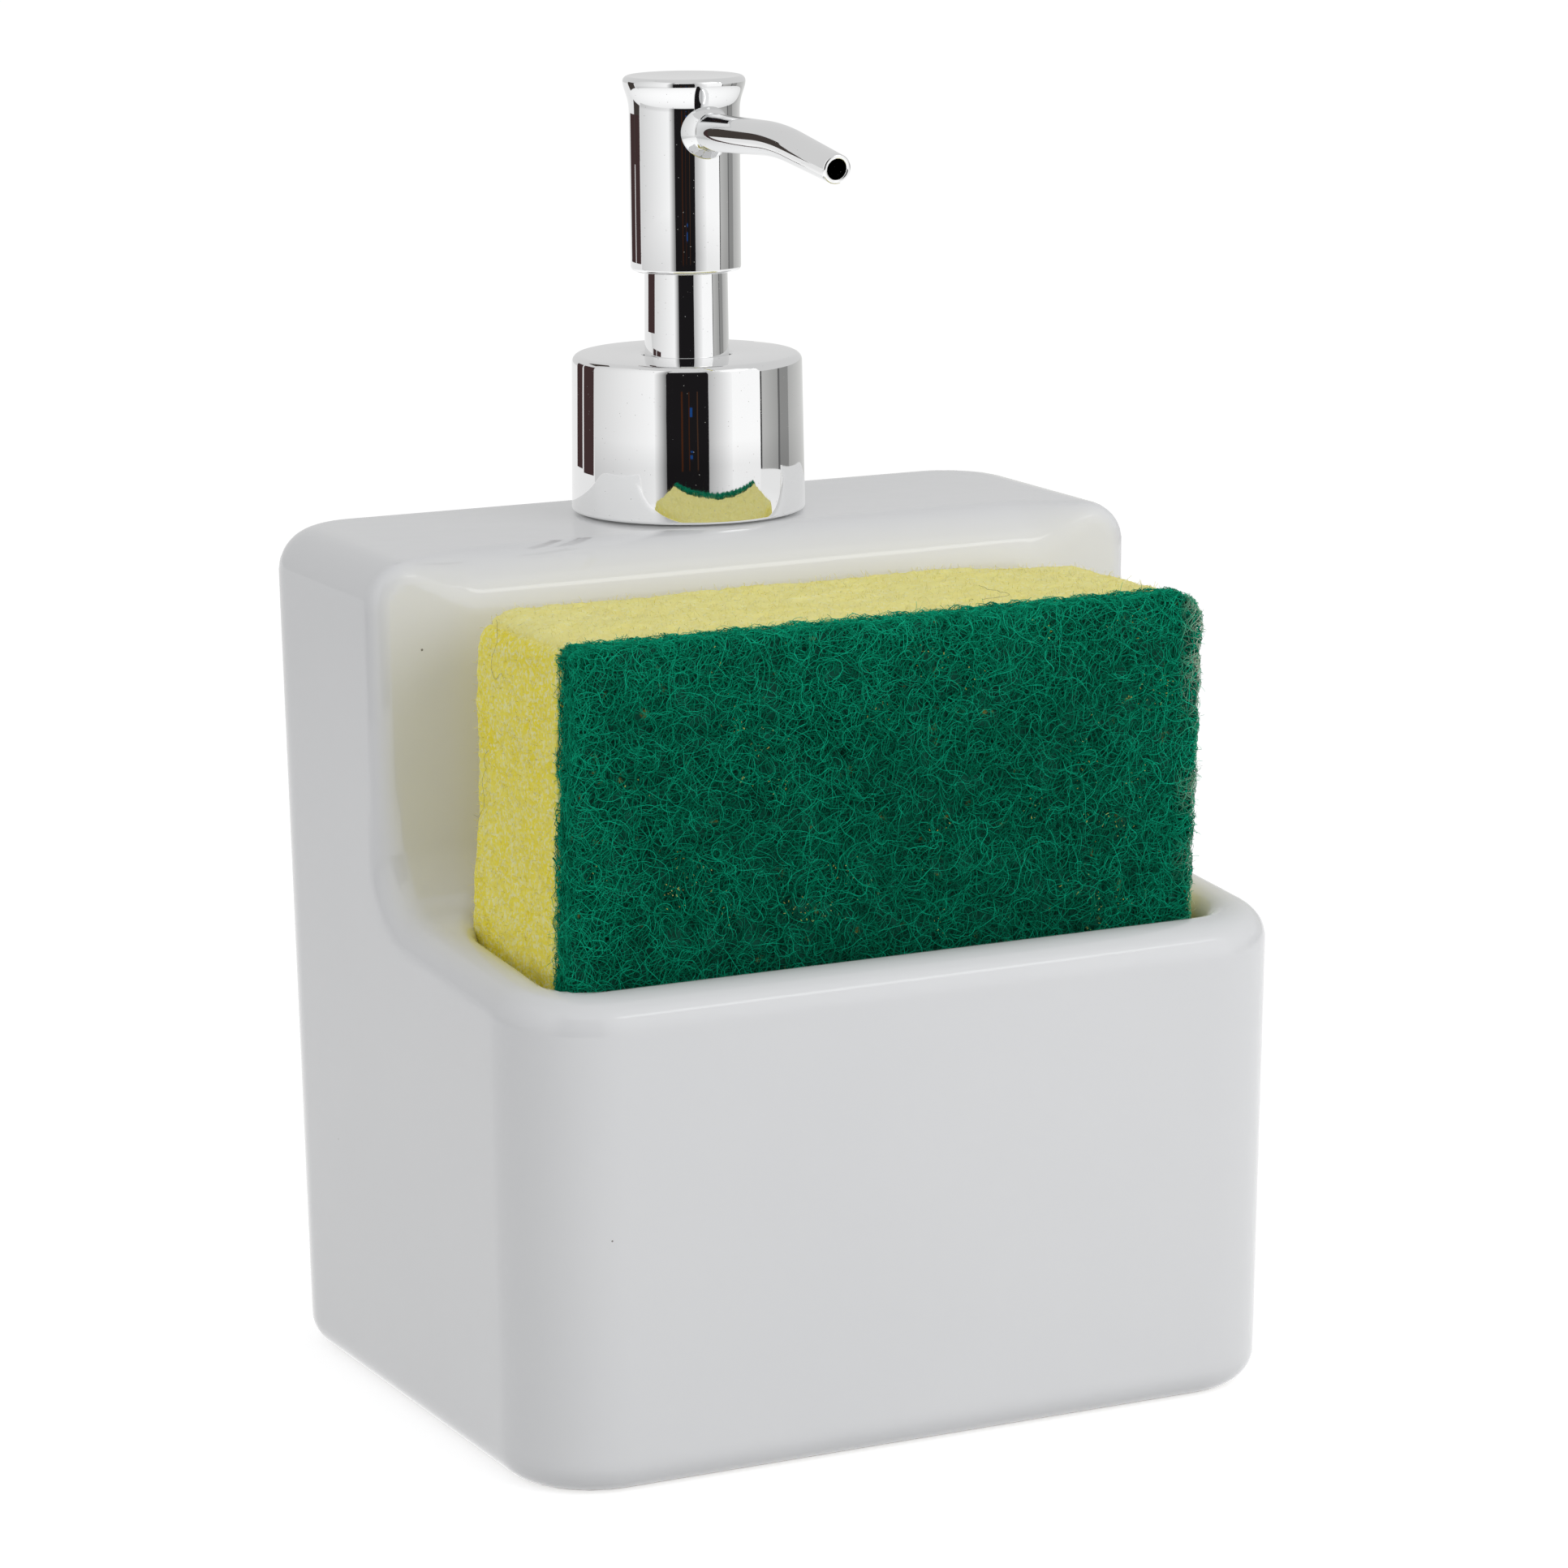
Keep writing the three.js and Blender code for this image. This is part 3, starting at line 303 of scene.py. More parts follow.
def surface_net(field, low, high, step):
    """Points and quads where a field is zero: a cell's mean crossing, and a quad per crossed edge."""
    axes = [np.arange(a, b + step, step) for a, b in zip(low, high)]
    value = field(np.stack(np.meshgrid(*axes, indexing="ij"), axis=-1))
    inside = value < 0
    cells = np.array(value.shape) - 1
    total, count = np.zeros((*cells, 3)), np.zeros(cells)
    for corner in np.ndindex(2, 2, 2):
        for axis in [a for a in range(3) if corner[a] == 0]:
            end = np.array(corner) + np.eye(3, dtype=int)[axis]
            near = tuple(slice(c, c + n) for c, n in zip(corner, cells))
            far = tuple(slice(c, c + n) for c, n in zip(end, cells))
            crossed = inside[near] != inside[far]
            share = value[near][crossed] / (value[near][crossed] - value[far][crossed])
            total[crossed] += np.array(corner) + share[:, None] * np.eye(3)[axis]
            count += crossed
    active = count > 0
    number = np.full(cells, -1)
    number[active] = np.arange(active.sum())
    points = (np.argwhere(active) + total[active] / count[active][:, None]) * step + np.array(low)
    quads = []
    for axis in range(3):
        order = [axis, (axis + 1) % 3, (axis + 2) % 3]
        side, index = inside.transpose(order), number.transpose(order)
        near, far = side[:-1, 1:-1, 1:-1], side[1:, 1:-1, 1:-1]
        ring = [index[:, :-1, :-1], index[:, 1:, :-1], index[:, 1:, 1:], index[:, :-1, 1:]]
        ring = np.stack(ring, axis=-1)
        quads += [ring[near & ~far], ring[far & ~near][:, ::-1]]
    return points, np.concatenate(quads)


def settle(field, points, times=4):
    """Slides points onto the surface: p - f(p) g / |g|^2, with g the field's slope."""
    for _ in range(times):
        g = slope(field, points)
        points = points - (field(points) / np.maximum((g * g).sum(-1), 1e-6))[:, None] * g
    return points


def even_out(points, quads, share=0.5):
    """Moves each point towards the mean of its neighbours along the quads' edges."""
    ends = np.concatenate([quads, np.roll(quads, -1, axis=1)], axis=0).ravel()
    others = np.concatenate([np.roll(quads, -1, axis=1), quads], axis=0).ravel()
    count = np.bincount(ends, minlength=len(points))[:, None]
    mean = np.stack([np.bincount(ends, points[others, a], len(points)) for a in range(3)], -1) / count
    return points + share * (mean - points)


# %% Make the casting
net_low = np.array([-60.0, -49.0, -1.6])
net_points, net_quads = surface_net(casting, net_low, -net_low * [1, 1, 0] + [0, 0, 120.0], GRID_STEP)
for _ in range(3):
    net_points = settle(casting, even_out(net_points, net_quads))
casting_piece = add_piece("glazed_casting", net_points, net_quads, "ceramic_body",
                          join=False)
net_normals = unit(slope(casting, net_points))
casting_piece.data.normals_split_custom_set_from_vertices(net_normals.tolist())
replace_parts(casting_piece, "ceramic_body")
print("casting's largest distance off its field, mm:", float(np.abs(casting(net_points)).max()))

# %% [markdown]
# ## Turned pump pieces
# Collar, sleeve and head are turned shapes, so each is a profile carried round the pump's axis. The
# profile is a short list of corners, and a rule swaps each corner for a true arc, because polished metal
# never has a sharp edge: the bright line along a rolled edge is what makes chrome look like chrome.

# %% Profiles and turning
TURN = 128


def round_corners(corners, radii, steps=6):
    """Closed outline with arcs for corners: the rational curve (b, w c, a), w = sin(half the corner)."""
    c, radii = np.array(corners, float), np.array(radii, float)
    back, ahead = np.roll(c, 1, axis=0) - c, np.roll(c, -1, axis=0) - c
    back_len, ahead_len = np.linalg.norm(back, axis=1), np.linalg.norm(ahead, axis=1)
    back, ahead = back / back_len[:, None], ahead / ahead_len[:, None]
    half = np.arccos(np.clip((back * ahead).sum(1), -1, 1)) / 2
    cut = np.minimum(radii / np.tan(half), 0.48 * np.minimum(back_len, ahead_len))[:, None]
    t = np.linspace(0, 1, steps)[None, :, None]
    w = np.sin(half)[:, None, None]
    start, end = (c + back * cut)[:, None], (c + ahead * cut)[:, None]
    weight = (1 - t) ** 2 + 2 * w * t * (1 - t) + t ** 2
    curve = (1 - t) ** 2 * start + 2 * w * t * (1 - t) * c[:, None] + t ** 2 * end
    return (curve / weight).reshape(-1, 2)


def turned_grid(profile, turn=TURN):
    """Profile (r, z) carried round the axis: (x, y, z) = (ax + r cos u, ay + r sin u, z)."""
    u = np.linspace(0, 2 * np.pi, turn, endpoint=False)
    r, z = profile[:, 0, None], profile[:, 1, None]
    return np.stack([PUMP_AXIS[0] + r * np.cos(u), PUMP_AXIS[1] + r * np.sin(u), z + 0 * u], axis=-1)


def grid_piece(name, grid, node, sharp=40, closed=True):
    """Piece from a grid of points, standing for a CAD node; closed joins its last row to its first."""
    piece = add_piece(name, grid, grid_faces(*grid.shape[:2], wrap_rows=closed), node, sharp=sharp)
    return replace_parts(piece, node)


def turned_piece(name, corners, radii, node):
    """A closed profile with rounded corners, turned about the pump's axis."""
    return grid_piece(name, turned_grid(round_corners(corners, radii)), node)


# %% Collar, sleeve and head
collar_low, collar_high = cad_box("collar_shell")
sleeve_low, sleeve_high = cad_box("guide_sleeve")
head_low, head_high = cad_box("pump_head")
COLLAR_R, COLLAR_TAPER, COLLAR_WALL, COLLAR_PLATE = 16.6, 0.3, 1.5, 1.6
SLEEVE_R, SLEEVE_TAPER, SLEEVE_WALL, SLEEVE_FOOT_R = 6.0, 0.15, 1.7, 7.8
HEAD_R, HEAD_BORE, HEAD_TOP_R, HEAD_PLATE = 7.8, 6.5, 8.65, 3.0

collar_top, plate_under = collar_high[2], collar_high[2] - COLLAR_PLATE
collar = turned_piece("chrome_collar", [
    (COLLAR_R - COLLAR_WALL, collar_low[2]), (COLLAR_R, collar_low[2]),
    (COLLAR_R - COLLAR_TAPER, collar_top), (SLEEVE_R + 0.3, collar_top),
    (SLEEVE_R + 0.3, plate_under), (COLLAR_R - COLLAR_WALL - 0.15, plate_under),
], [0.1, 0.4, 1.1, 0.55, 0.1, 0.3], "collar_shell")
sleeve = turned_piece("chrome_sleeve", [
    (SLEEVE_R - SLEEVE_WALL, sleeve_low[2]), (SLEEVE_FOOT_R, sleeve_low[2]),
    (SLEEVE_FOOT_R, plate_under), (SLEEVE_R, plate_under),
    (SLEEVE_R - SLEEVE_TAPER, sleeve_high[2]), (SLEEVE_R - SLEEVE_WALL, sleeve_high[2]),
], [0.1, 0.1, 0.1, 0.2, 0.3, 0.1], "guide_sleeve")


def head_profile(bottom, top, flare_height=4.8, rim=0.8, dish=0.2, steps=24):
    """Outline of the head: skirt, tube, S-curve that flares to the rim, rolled rim, shallow dish, bore."""
    skirt = np.array([[HEAD_BORE, bottom], [HEAD_BORE + 0.2, bottom]])
    turn = np.linspace(-np.pi / 2, 0, 8)[:, None]
    edge = np.concatenate([HEAD_R - 0.6 + 0.6 * np.cos(turn), bottom + 0.6 + 0.6 * np.sin(turn)], axis=1)
    t = np.linspace(0, 1, steps)[:, None]
    flare_r = HEAD_R + (HEAD_TOP_R - HEAD_R) * smooth(t ** 1.6)
    flare = np.concatenate([flare_r, top - rim - flare_height * (1 - t)], axis=1)
    turn = np.linspace(0, np.pi / 2, 12)[1:, None]
    roll = np.concatenate([HEAD_TOP_R - rim + rim * np.cos(turn), top - rim + rim * np.sin(turn)], axis=1)
    s = np.linspace(1, 0, steps)[1:, None]
    flat = np.concatenate([(HEAD_TOP_R - rim) * s, top - dish * (1 - s ** 2)], axis=1)
    roof = top - HEAD_PLATE
    inside = np.array([[0, roof], [HEAD_BORE - 0.3, roof], [HEAD_BORE, roof - 0.3]])
    return np.concatenate([skirt, edge, flare, roll, flat, inside])


head_grid = turned_grid(head_profile(head_low[2], head_high[2]))
head = grid_piece("chrome_head", head_grid, "pump_head")

# %% [markdown]
# ## Spout
# The spout is a tapered tube, bent down near its middle, that grows out of the head in a small trumpet.
# A circle carried along a bent path gives the tube. Near the head each ring is bent onto the head's own
# round front, so the seam between them is a saddle and not a flat cut.

# %% Spout
SPOUT_RISE, SPOUT_REACH, SPOUT_BEND, SPOUT_BEND_LENGTH = 19.8, 47.5, 30.0, 9.0
SPOUT_LIFT, SPOUT_DROP, SPOUT_START, SPOUT_LIP = 0.9, 2.6, 3.4, 0.25
SPOUT_ROOT_R, SPOUT_TIP_R, SPOUT_BORE_R, SPOUT_TRUMPET = 2.75, 2.05, 1.4, 1.1
SPOUT_Z = head_low[2] + SPOUT_RISE


def spout_line(reach):
    """Centre line from the side: height over distance from the axis, two straights and a parabola."""
    climb = SPOUT_LIFT / (SPOUT_BEND - SPOUT_START)
    fall = -SPOUT_DROP / (SPOUT_REACH - SPOUT_BEND)
    start, end = SPOUT_BEND - SPOUT_BEND_LENGTH / 2, SPOUT_BEND + SPOUT_BEND_LENGTH / 2
    bent = np.clip(reach - start, 0, end - start)
    height = climb * (reach - SPOUT_START) + (fall - climb) * bent ** 2 / (2 * (end - start))
    height += (fall - climb) * np.maximum(reach - end, 0)
    slant = climb + (fall - climb) * bent / (end - start)
    return SPOUT_Z + height, slant


def spout_grid(around=64):
    """Rings round the centre line: from head to tip, over the rounded lip, and back down the bore."""
    trumpet = np.linspace(0, np.pi / 2, 12)
    foot = HEAD_R + SPOUT_TRUMPET * np.sin(trumpet)
    foot_swell = SPOUT_TRUMPET * (1 - np.cos(np.pi / 2 - trumpet))
    out = np.concatenate([foot, np.linspace(HEAD_R + SPOUT_TRUMPET, SPOUT_REACH - SPOUT_LIP, 60)[1:]])
    swell = np.concatenate([foot_swell, np.zeros(59)])
    taper = (SPOUT_TIP_R - SPOUT_ROOT_R) * (out - SPOUT_START) / (SPOUT_REACH - SPOUT_START)
    radius = SPOUT_ROOT_R + taper + swell
    lip = np.linspace(0, np.pi, 9)[1:]
    wall = (SPOUT_TIP_R - SPOUT_BORE_R) / 2
    lip_reach = SPOUT_REACH - SPOUT_LIP + SPOUT_LIP * np.sin(lip)
    lip_radius = SPOUT_BORE_R + wall + wall * np.cos(lip)
    bore = np.linspace(SPOUT_REACH - 0.4, HEAD_R - 1, 30)
    bore_radius = np.concatenate([np.full(29, SPOUT_BORE_R), [0.0]])
    bore[-1] = bore[-2]
    reach = np.concatenate([[HEAD_R - 1.2], out, lip_reach, bore])[:, None]
    r = np.concatenate([[radius[0]], radius, lip_radius, bore_radius])[:, None]
    u = np.linspace(0, 2 * np.pi, around, endpoint=False)[None, :]
    z, slant = spout_line(reach)
    tilt = 1 / np.sqrt(1 + slant ** 2)
    x = r * np.cos(u)
    onto_head = HEAD_R - np.sqrt(np.maximum(HEAD_R ** 2 - x ** 2, 1))
    on_outside = r > SPOUT_BORE_R + 0.01
    saddle = np.clip(1 - (reach - HEAD_R) / SPOUT_TRUMPET, 0, 1) ** 2 * on_outside * onto_head
    y = PUMP_AXIS[1] - reach + saddle + r * np.sin(u) * slant * tilt
    return np.stack([x, y, z + r * np.sin(u) * tilt], axis=-1)


spout = grid_piece("chrome_spout", spout_grid(), "spout", sharp=60, closed=False)

# %% [markdown]
# ## What shows when the pump is lifted out
# Under the collar the caddy is plain moulded plastic: a screw neck bonded into the clay, a screw cap, the
# pump barrel and the suction tube. A thread is a ridge that climbs as it goes round, so the neck's wall
# is a cylinder whose radius swells where height and angle agree.

# %% Neck, cap, barrel and tube
neck_low, neck_high = cad_box("neck_insert")
cap_low, cap_high = cad_box("inner_closure")
barrel_low, barrel_high = cad_box("pump_housing")
tube_low, tube_high = cad_box("dip_tube")
THREAD_PITCH, THREAD_RIDGE = 3.2, 0.26


def thread(angle, z, low, high):
    """Height of a screw ridge: a smooth bump every pitch, shifted by the angle, fading at both ends."""
    phase = (z - low) / THREAD_PITCH - angle / (2 * np.pi)
    bump = np.clip(np.cos(2 * np.pi * phase) * 1.6 - 0.3, 0, 1)
    fade = np.clip((z - low) / 1.2, 0, 1) * np.clip((high - z) / 1.2, 0, 1)
    return THREAD_RIDGE * smooth(bump) * fade


def threaded_piece(name, corners, radii, node, wall, low, high, outwards):
    """A turned piece whose wall between two heights carries the thread, outwards or inwards."""
    profile = round_corners(corners, radii)
    extra = np.stack([np.full(60, wall), np.linspace(low, high, 60)], axis=1)
    at = int(np.argmin(np.abs(profile - [wall, low]).sum(1)))
    extra = extra if profile[(at + 1) % len(profile), 1] >= profile[at, 1] else extra[::-1]
    profile = np.insert(profile, at + 1, extra[1:-1], axis=0)
    grid = turned_grid(profile)
    u = np.linspace(0, 2 * np.pi, TURN, endpoint=False)[None, :]
    on_wall = (np.abs(profile[:, 0] - wall) < 1e-6)[:, None]
    ridge = on_wall * thread(u, profile[:, 1, None], low, high) * (1 if outwards else -1)
    grid[..., 0] += ridge * np.cos(u)
    grid[..., 1] += ridge * np.sin(u)
    return grid_piece(name, grid, node, sharp=45)


NECK_R, NECK_BORE, NECK_FLANGE_R, SPIGOT_R = 12.0, 9.75, 14.45, 12.15
CAP_R, CAP_BORE, CAP_HOLE = 14.8, 12.3, 7.2
neck_shoulder = DECK + 1.8
neck = threaded_piece("screw_neck", [
    (NECK_BORE, neck_low[2]), (SPIGOT_R, neck_low[2]), (SPIGOT_R, DECK), (NECK_FLANGE_R, DECK),
    (NECK_FLANGE_R, neck_shoulder), (NECK_R, neck_shoulder),
    (NECK_R, neck_high[2]), (NECK_BORE, neck_high[2]),
], [0.2, 0.3, 0.05, 0.3, 0.4, 0.3, 0.5, 0.3], "neck_insert",
    NECK_R, neck_shoulder + 2, neck_high[2] - 1.5, True)
cap = threaded_piece("screw_cap", [
    (CAP_BORE, cap_low[2]), (CAP_R, cap_low[2]), (CAP_R, cap_high[2]), (CAP_HOLE, cap_high[2]),
    (CAP_HOLE, cap_high[2] - 2.2), (CAP_BORE, cap_high[2] - 2.2),
], [0.3, 0.3, 0.6, 0.2, 0.2, 0.2], "inner_closure",
    CAP_BORE, cap_low[2] + 1.5, cap_high[2] - 3.5, False)

BORE_R, BARREL_R, BARREL_FLANGE_R, TUBE_R, TUBE_BORE_R, SOCKET_R = 6.3, 7.5, 11.85, 3.2, 2.3, 4.55
barrel_shoulder = 88.0
barrel_top = barrel_high[2] - 0.06  # room to turn under the cap
flange_under = barrel_high[2] - 1.6
barrel = turned_piece("pump_barrel", [
    (BORE_R, barrel_top), (BORE_R, barrel_shoulder + 3), (TUBE_R + 0.15, barrel_shoulder - 4),
    (TUBE_R + 0.15, barrel_low[2]), (SOCKET_R, barrel_low[2]), (SOCKET_R, barrel_shoulder - 5),
    (BARREL_R, barrel_shoulder), (BARREL_R, flange_under),
    (BARREL_FLANGE_R, flange_under), (BARREL_FLANGE_R, barrel_top),
], [0.3, 0.5, 0.5, 0.2, 0.4, 1.5, 2.0, 0.5, 0.3, 0.3], "pump_housing")
tube_profile = round_corners([
    (TUBE_BORE_R, tube_low[2]), (TUBE_R, tube_low[2]),
    (TUBE_R, tube_high[2]), (TUBE_BORE_R, tube_high[2]),
], [0.2, 0.2, 0.2, 0.2])
tube_grid = turned_grid(tube_profile, 64)
SLANT = math.tan(math.radians(40))
slanted = (tube_profile[:, 1] < tube_low[2] + 1)[:, None]
tube_grid[..., 2] += slanted * (TUBE_R + tube_grid[..., 1] - PUMP_AXIS[1]) * SLANT
tube = grid_piece("suction_tube", tube_grid, "dip_tube")

# %% [markdown]
# ## Noise made by hand
# Foam and scouring fibre need roughness in the mesh itself, not only in a material. Two small noises are
# enough: a value noise that drifts smoothly between random numbers on a lattice, and a bubble noise that
# measures the way to the nearest of many scattered centres.


# %% Noises
def lattice_random(cells, seed):
    """Random number from 0 to 1 for each lattice point: a mix of its three coordinates' bits."""
    c = cells.astype(np.int64).astype(np.uint64)
    mix = c[..., 0] * np.uint64(73856093) ^ c[..., 1] * np.uint64(19349663)
    mix ^= c[..., 2] * np.uint64(83492791) ^ np.uint64(seed * 2654435761)
    mix = (mix ^ (mix >> np.uint64(15))) * np.uint64(2246822519)
    mix = (mix ^ (mix >> np.uint64(13))) * np.uint64(3266489917)
    return ((mix ^ (mix >> np.uint64(16))) & np.uint64(0xFFFFFF)).astype(float) / 0xFFFFFF


def drift(p, size, seed):
    """Value noise from -1 to 1: lattice numbers blended by 3t^2 - 2t^3 along each axis."""
    q = p / size
    cell = np.floor(q)
    t = smooth(q - cell)
    total = np.zeros(p.shape[:-1])
    for corner in np.ndindex(2, 2, 2):
        weight = np.prod(np.where(np.array(corner) == 1, t, 1 - t), axis=-1)
        total += weight * lattice_random(cell + np.array(corner), seed)
    return total * 2 - 1


def bubble(p, size, seed):
    """Distance to the nearest scattered centre in bubble sizes, with one centre per lattice cell."""
    q = p / size
    cell = np.floor(q)
    nearest = np.full(p.shape[:-1], 9.0)
    for offset in np.ndindex(3, 3, 3):
        home = cell + np.array(offset) - 1
        centre = home + np.stack([lattice_random(home, seed + k) for k in range(3)], axis=-1)
        nearest = np.minimum(nearest, np.linalg.norm(q - centre, axis=-1))
    return nearest


# %% [markdown]
# ## The foam half of the sponge
# The foam is a block cut from a bigger one, so it is not a stuffed cushion: its faces are flat, its edges
# are hardly rounded, and all over it the knife has opened small bubbles. A fine lattice is wrapped round
# the block, its corners are rounded in plan, and each point sinks where an opened bubble lies. The block
# leans forward and slumps a little to one side, as it stands in the pocket.

# %% Foam block
SPONGE_HALF, SPONGE_HEIGHT, SPONGE_CORNER, CUT_CORNER = 46.9, 67.9, 4.5, 1.5
FOAM_THICK, GLUE_LINE, PAD_THICK = 25.0, 0.2, 5.4
SPONGE_LEAN, SPONGE_SLUMP = math.tan(math.radians(2.6)), math.tan(math.radians(0.7))
SPONGE_SHIFT, SPONGE_FOOT, FOAM_BACK = -0.6, 45.0, -4.9 + FOOT_Y
SPONGE_MID = SPONGE_HEIGHT / 2
SAG_FRONT, SAG_CORNER, SAG_FROM, SAG_RUN = 0.75, 1.5, 20.0, 26.0  # the top sinks, most at its worn corner
BULGE, BULGE_HEIGHT, BULGE_RUN = 0.6, 22.0, 9.0  # the foam's left end swells, most above the rim


def block_skin(size, step):
    """Lattice round a block: every grid point on one of its six sides, as shares of its size."""
    counts = np.maximum(np.round(np.array(size) / step).astype(int), 2)
    quads = []
    for axis in range(3):
        a, b = (axis + 1) % 3, (axis + 2) % 3
        i, j = np.meshgrid(np.arange(counts[a]), np.arange(counts[b]), indexing="ij")
        for end in (0, counts[axis]):
            corner = np.zeros((*i.shape, 4, 3), int)
            corner[..., axis] = end
            for k, (di, dj) in enumerate([(0, 0), (1, 0), (1, 1), (0, 1)]):
                corner[..., k, a], corner[..., k, b] = i + di, j + dj
            quads.append((corner if end else corner[..., ::-1, :]).reshape(-1, 4, 3))
    quads = np.concatenate(quads)
    keys = (quads[..., 0] * (counts[1] + 1) + quads[..., 1]) * (counts[2] + 1) + quads[..., 2]
    unique, place = np.unique(keys, return_inverse=True)
    k = unique % (counts[2] + 1)
    j = unique // (counts[2] + 1) % (counts[1] + 1)
    i = unique // ((counts[2] + 1) * (counts[1] + 1))
    return np.stack([i, j, k], axis=-1) / counts, place.reshape(-1, 4)


def corner_radius(x, z, behind=0.0):
    """Radius of the nearest corner: tight at the upper left, a fresh cut, but worn behind."""
    return np.where((x < 0) & (z > SPONGE_MID), CUT_CORNER + 4.0 * behind, SPONGE_CORNER)


def rounded_in_plan(x, z, behind):
    """Square corners pressed into round ones: in a corner, radius = the larger offset, direction kept."""
    radius = corner_radius(x, z, behind)
    ax = np.maximum(np.abs(x) - (SPONGE_HALF - radius), 0)
    az = np.maximum(np.abs(z - SPONGE_MID) - (SPONGE_MID - radius), 0)
    shrink = np.maximum(ax, az) / np.maximum(np.hypot(ax, az), 1e-9)
    shrink = np.where((ax > 0) & (az > 0), shrink, 1.0)
    return x - np.sign(x) * ax * (1 - shrink), z - np.sign(z - SPONGE_MID) * az * (1 - shrink)


def stand_in_pocket(x, y, z):
    """Sponge's own x, y (from the foam's rear) and z to the part's frame: it leans, sags and spreads."""
    share = z / SPONGE_HEIGHT
    behind = np.clip(1 + y / FOAM_THICK, 0, 1)
    sag = SAG_FRONT * (1 - behind) + SAG_CORNER * behind * np.clip((x - SAG_FROM) / SAG_RUN, 0, 1) ** 1.5
    bulge = BULGE + BULGE * np.exp(-((z - BULGE_HEIGHT) / BULGE_RUN) ** 2)
    spread = bulge * behind * np.clip(-x / SPONGE_HALF, 0, 1) ** 4
    return np.stack([
        x - spread + SPONGE_SLUMP * z + SPONGE_SHIFT,
        FOAM_BACK + y + 1.0 * behind - SPONGE_LEAN * z,
        z - sag * share + SPONGE_FOOT,
    ], axis=-1)


def sponge_slab(thick, rear, step, edge):
    """Lattice on one layer of the sponge, with outward directions: edges eased where two sides meet."""
    share, quads = block_skin((2 * SPONGE_HALF, thick, SPONGE_HEIGHT), step)
    x = (share[:, 0] * 2 - 1) * SPONGE_HALF
    z = share[:, 2] * SPONGE_HEIGHT
    y = rear - thick + share[:, 1] * thick
    inner = np.stack([
        np.clip(x, edge - SPONGE_HALF, SPONGE_HALF - edge),
        np.clip(y, rear - thick + edge, rear - edge),
        np.clip(z, edge, SPONGE_HEIGHT - edge),
    ], axis=-1)
    out = unit(np.stack([x, y, z], axis=-1) - inner)
    eased = inner + out * edge
    behind = np.clip(1 + eased[:, 1] / FOAM_THICK, 0, 1)
    flat_x, flat_z = rounded_in_plan(eased[:, 0], eased[:, 2], behind)
    return np.stack([flat_x, eased[:, 1], flat_z], axis=-1), out, quads


FOAM_STEP, FOAM_CELL, FOAM_PIT = 0.48, 1.0, 0.2
foam_points, foam_out, foam_quads = sponge_slab(FOAM_THICK, 0.0, FOAM_STEP, 1.2)
pit = np.clip(1 - bubble(foam_points, FOAM_CELL, 11) / 0.62, 0, 1)
fine = np.clip(1 - bubble(foam_points, FOAM_CELL * 0.5, 23) / 0.62, 0, 1)
lumps = 0.34 * drift(foam_points, 8.0, 5) + 0.2 * drift(foam_points, 2.4, 6)
lumps += 0.16 * drift(foam_points, 1.1, 7)
sink = FOAM_PIT * pit + 0.12 * fine - lumps
glued = foam_points[:, 1] < -FOAM_THICK + 0.4
foam_rough = foam_points - foam_out * np.where(glued, 0.1, np.maximum(sink, -0.3) - 0.15)[:, None]
foam = add_piece("foam_block", stand_in_pocket(*foam_rough.T), foam_quads, "foam_sponge",
                 join=False)
# pit_depth feeds the finish's painted shade in the opened bubbles, and upward its painted top light.
set_values(foam, "pit_depth", 0.7 * pit + 0.3 * fine)
set_values(foam, "upward", np.clip(foam_out[:, 2], 0, 1))
set_values(foam, "rearward", np.clip(foam_out[:, 1], 0, 1))
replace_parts(foam, "foam_sponge")

# %% [markdown]
# ## The scouring half
# The green pad is a web of stiff fibres, crimped and tangled, glued where they touch. A bump map would
# stay flat at its edges, so there are real fibres: a lumpy core, its dark green painted shade for the
# web's depths, and over it some thousands of thin bent threads. Each thread wanders in the flat of the
# pad with its own bend, dives into the core at both ends, and is then folded over the pad's rounded
# edges. A thread has three sides and few rings.

# %% Pad core
PAD_REAR = -FOAM_THICK - GLUE_LINE
PAD_FRONT = PAD_REAR - PAD_THICK
core_points, core_out, core_quads = sponge_slab(PAD_THICK - 0.7, PAD_REAR, 0.75, 1.0)
core_lumps = 0.38 * drift(core_points, 1.5, 31) + 0.34 * drift(core_points, 4.5, 32)
core_glued = core_points[:, 1] > PAD_REAR - 0.4
core_rough = core_points + core_out * np.where(core_glued, -0.05, core_lumps - 0.3)[:, None]
core = add_piece("scour_core", stand_in_pocket(*core_rough.T), core_quads, "scour_pad",
                 join=False)
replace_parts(core, "scour_pad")

# %% Threads
THREADS, THREAD_POINTS, PAD_EDGE = 3300, 10, 1.0
WORN_IN, WORN_FADE, WORN_SHARE = 3.6, 3.2, 0.42  # pale worn threads along the pad's right edge
RING_SIDES = 3  # a thread's section is a triangle


def outline_distance(x, z):
    """Signed distance to the pad's rounded, ragged outline in its plane, and the outward direction."""
    radius = corner_radius(x, z)
    ax = np.abs(x) - (SPONGE_HALF - radius)
    az = np.abs(z - SPONGE_MID) - (SPONGE_MID - radius)
    px, pz = np.maximum(ax, 0), np.maximum(az, 0)
    reach = np.hypot(px, pz)
    ragged = 0.2 * np.sin(1.3 * x + 0.9 * z) + 0.16 * np.sin(3.1 * z - 2.3 * x)
    distance = reach + np.minimum(np.maximum(ax, az), 0) - radius + ragged
    nx = np.where(reach > 0, px / np.maximum(reach, 1e-9), ax >= az) * np.sign(x)
    nz = np.where(reach > 0, pz / np.maximum(reach, 1e-9), ax < az) * np.sign(z - SPONGE_MID)
    return distance, nx, nz


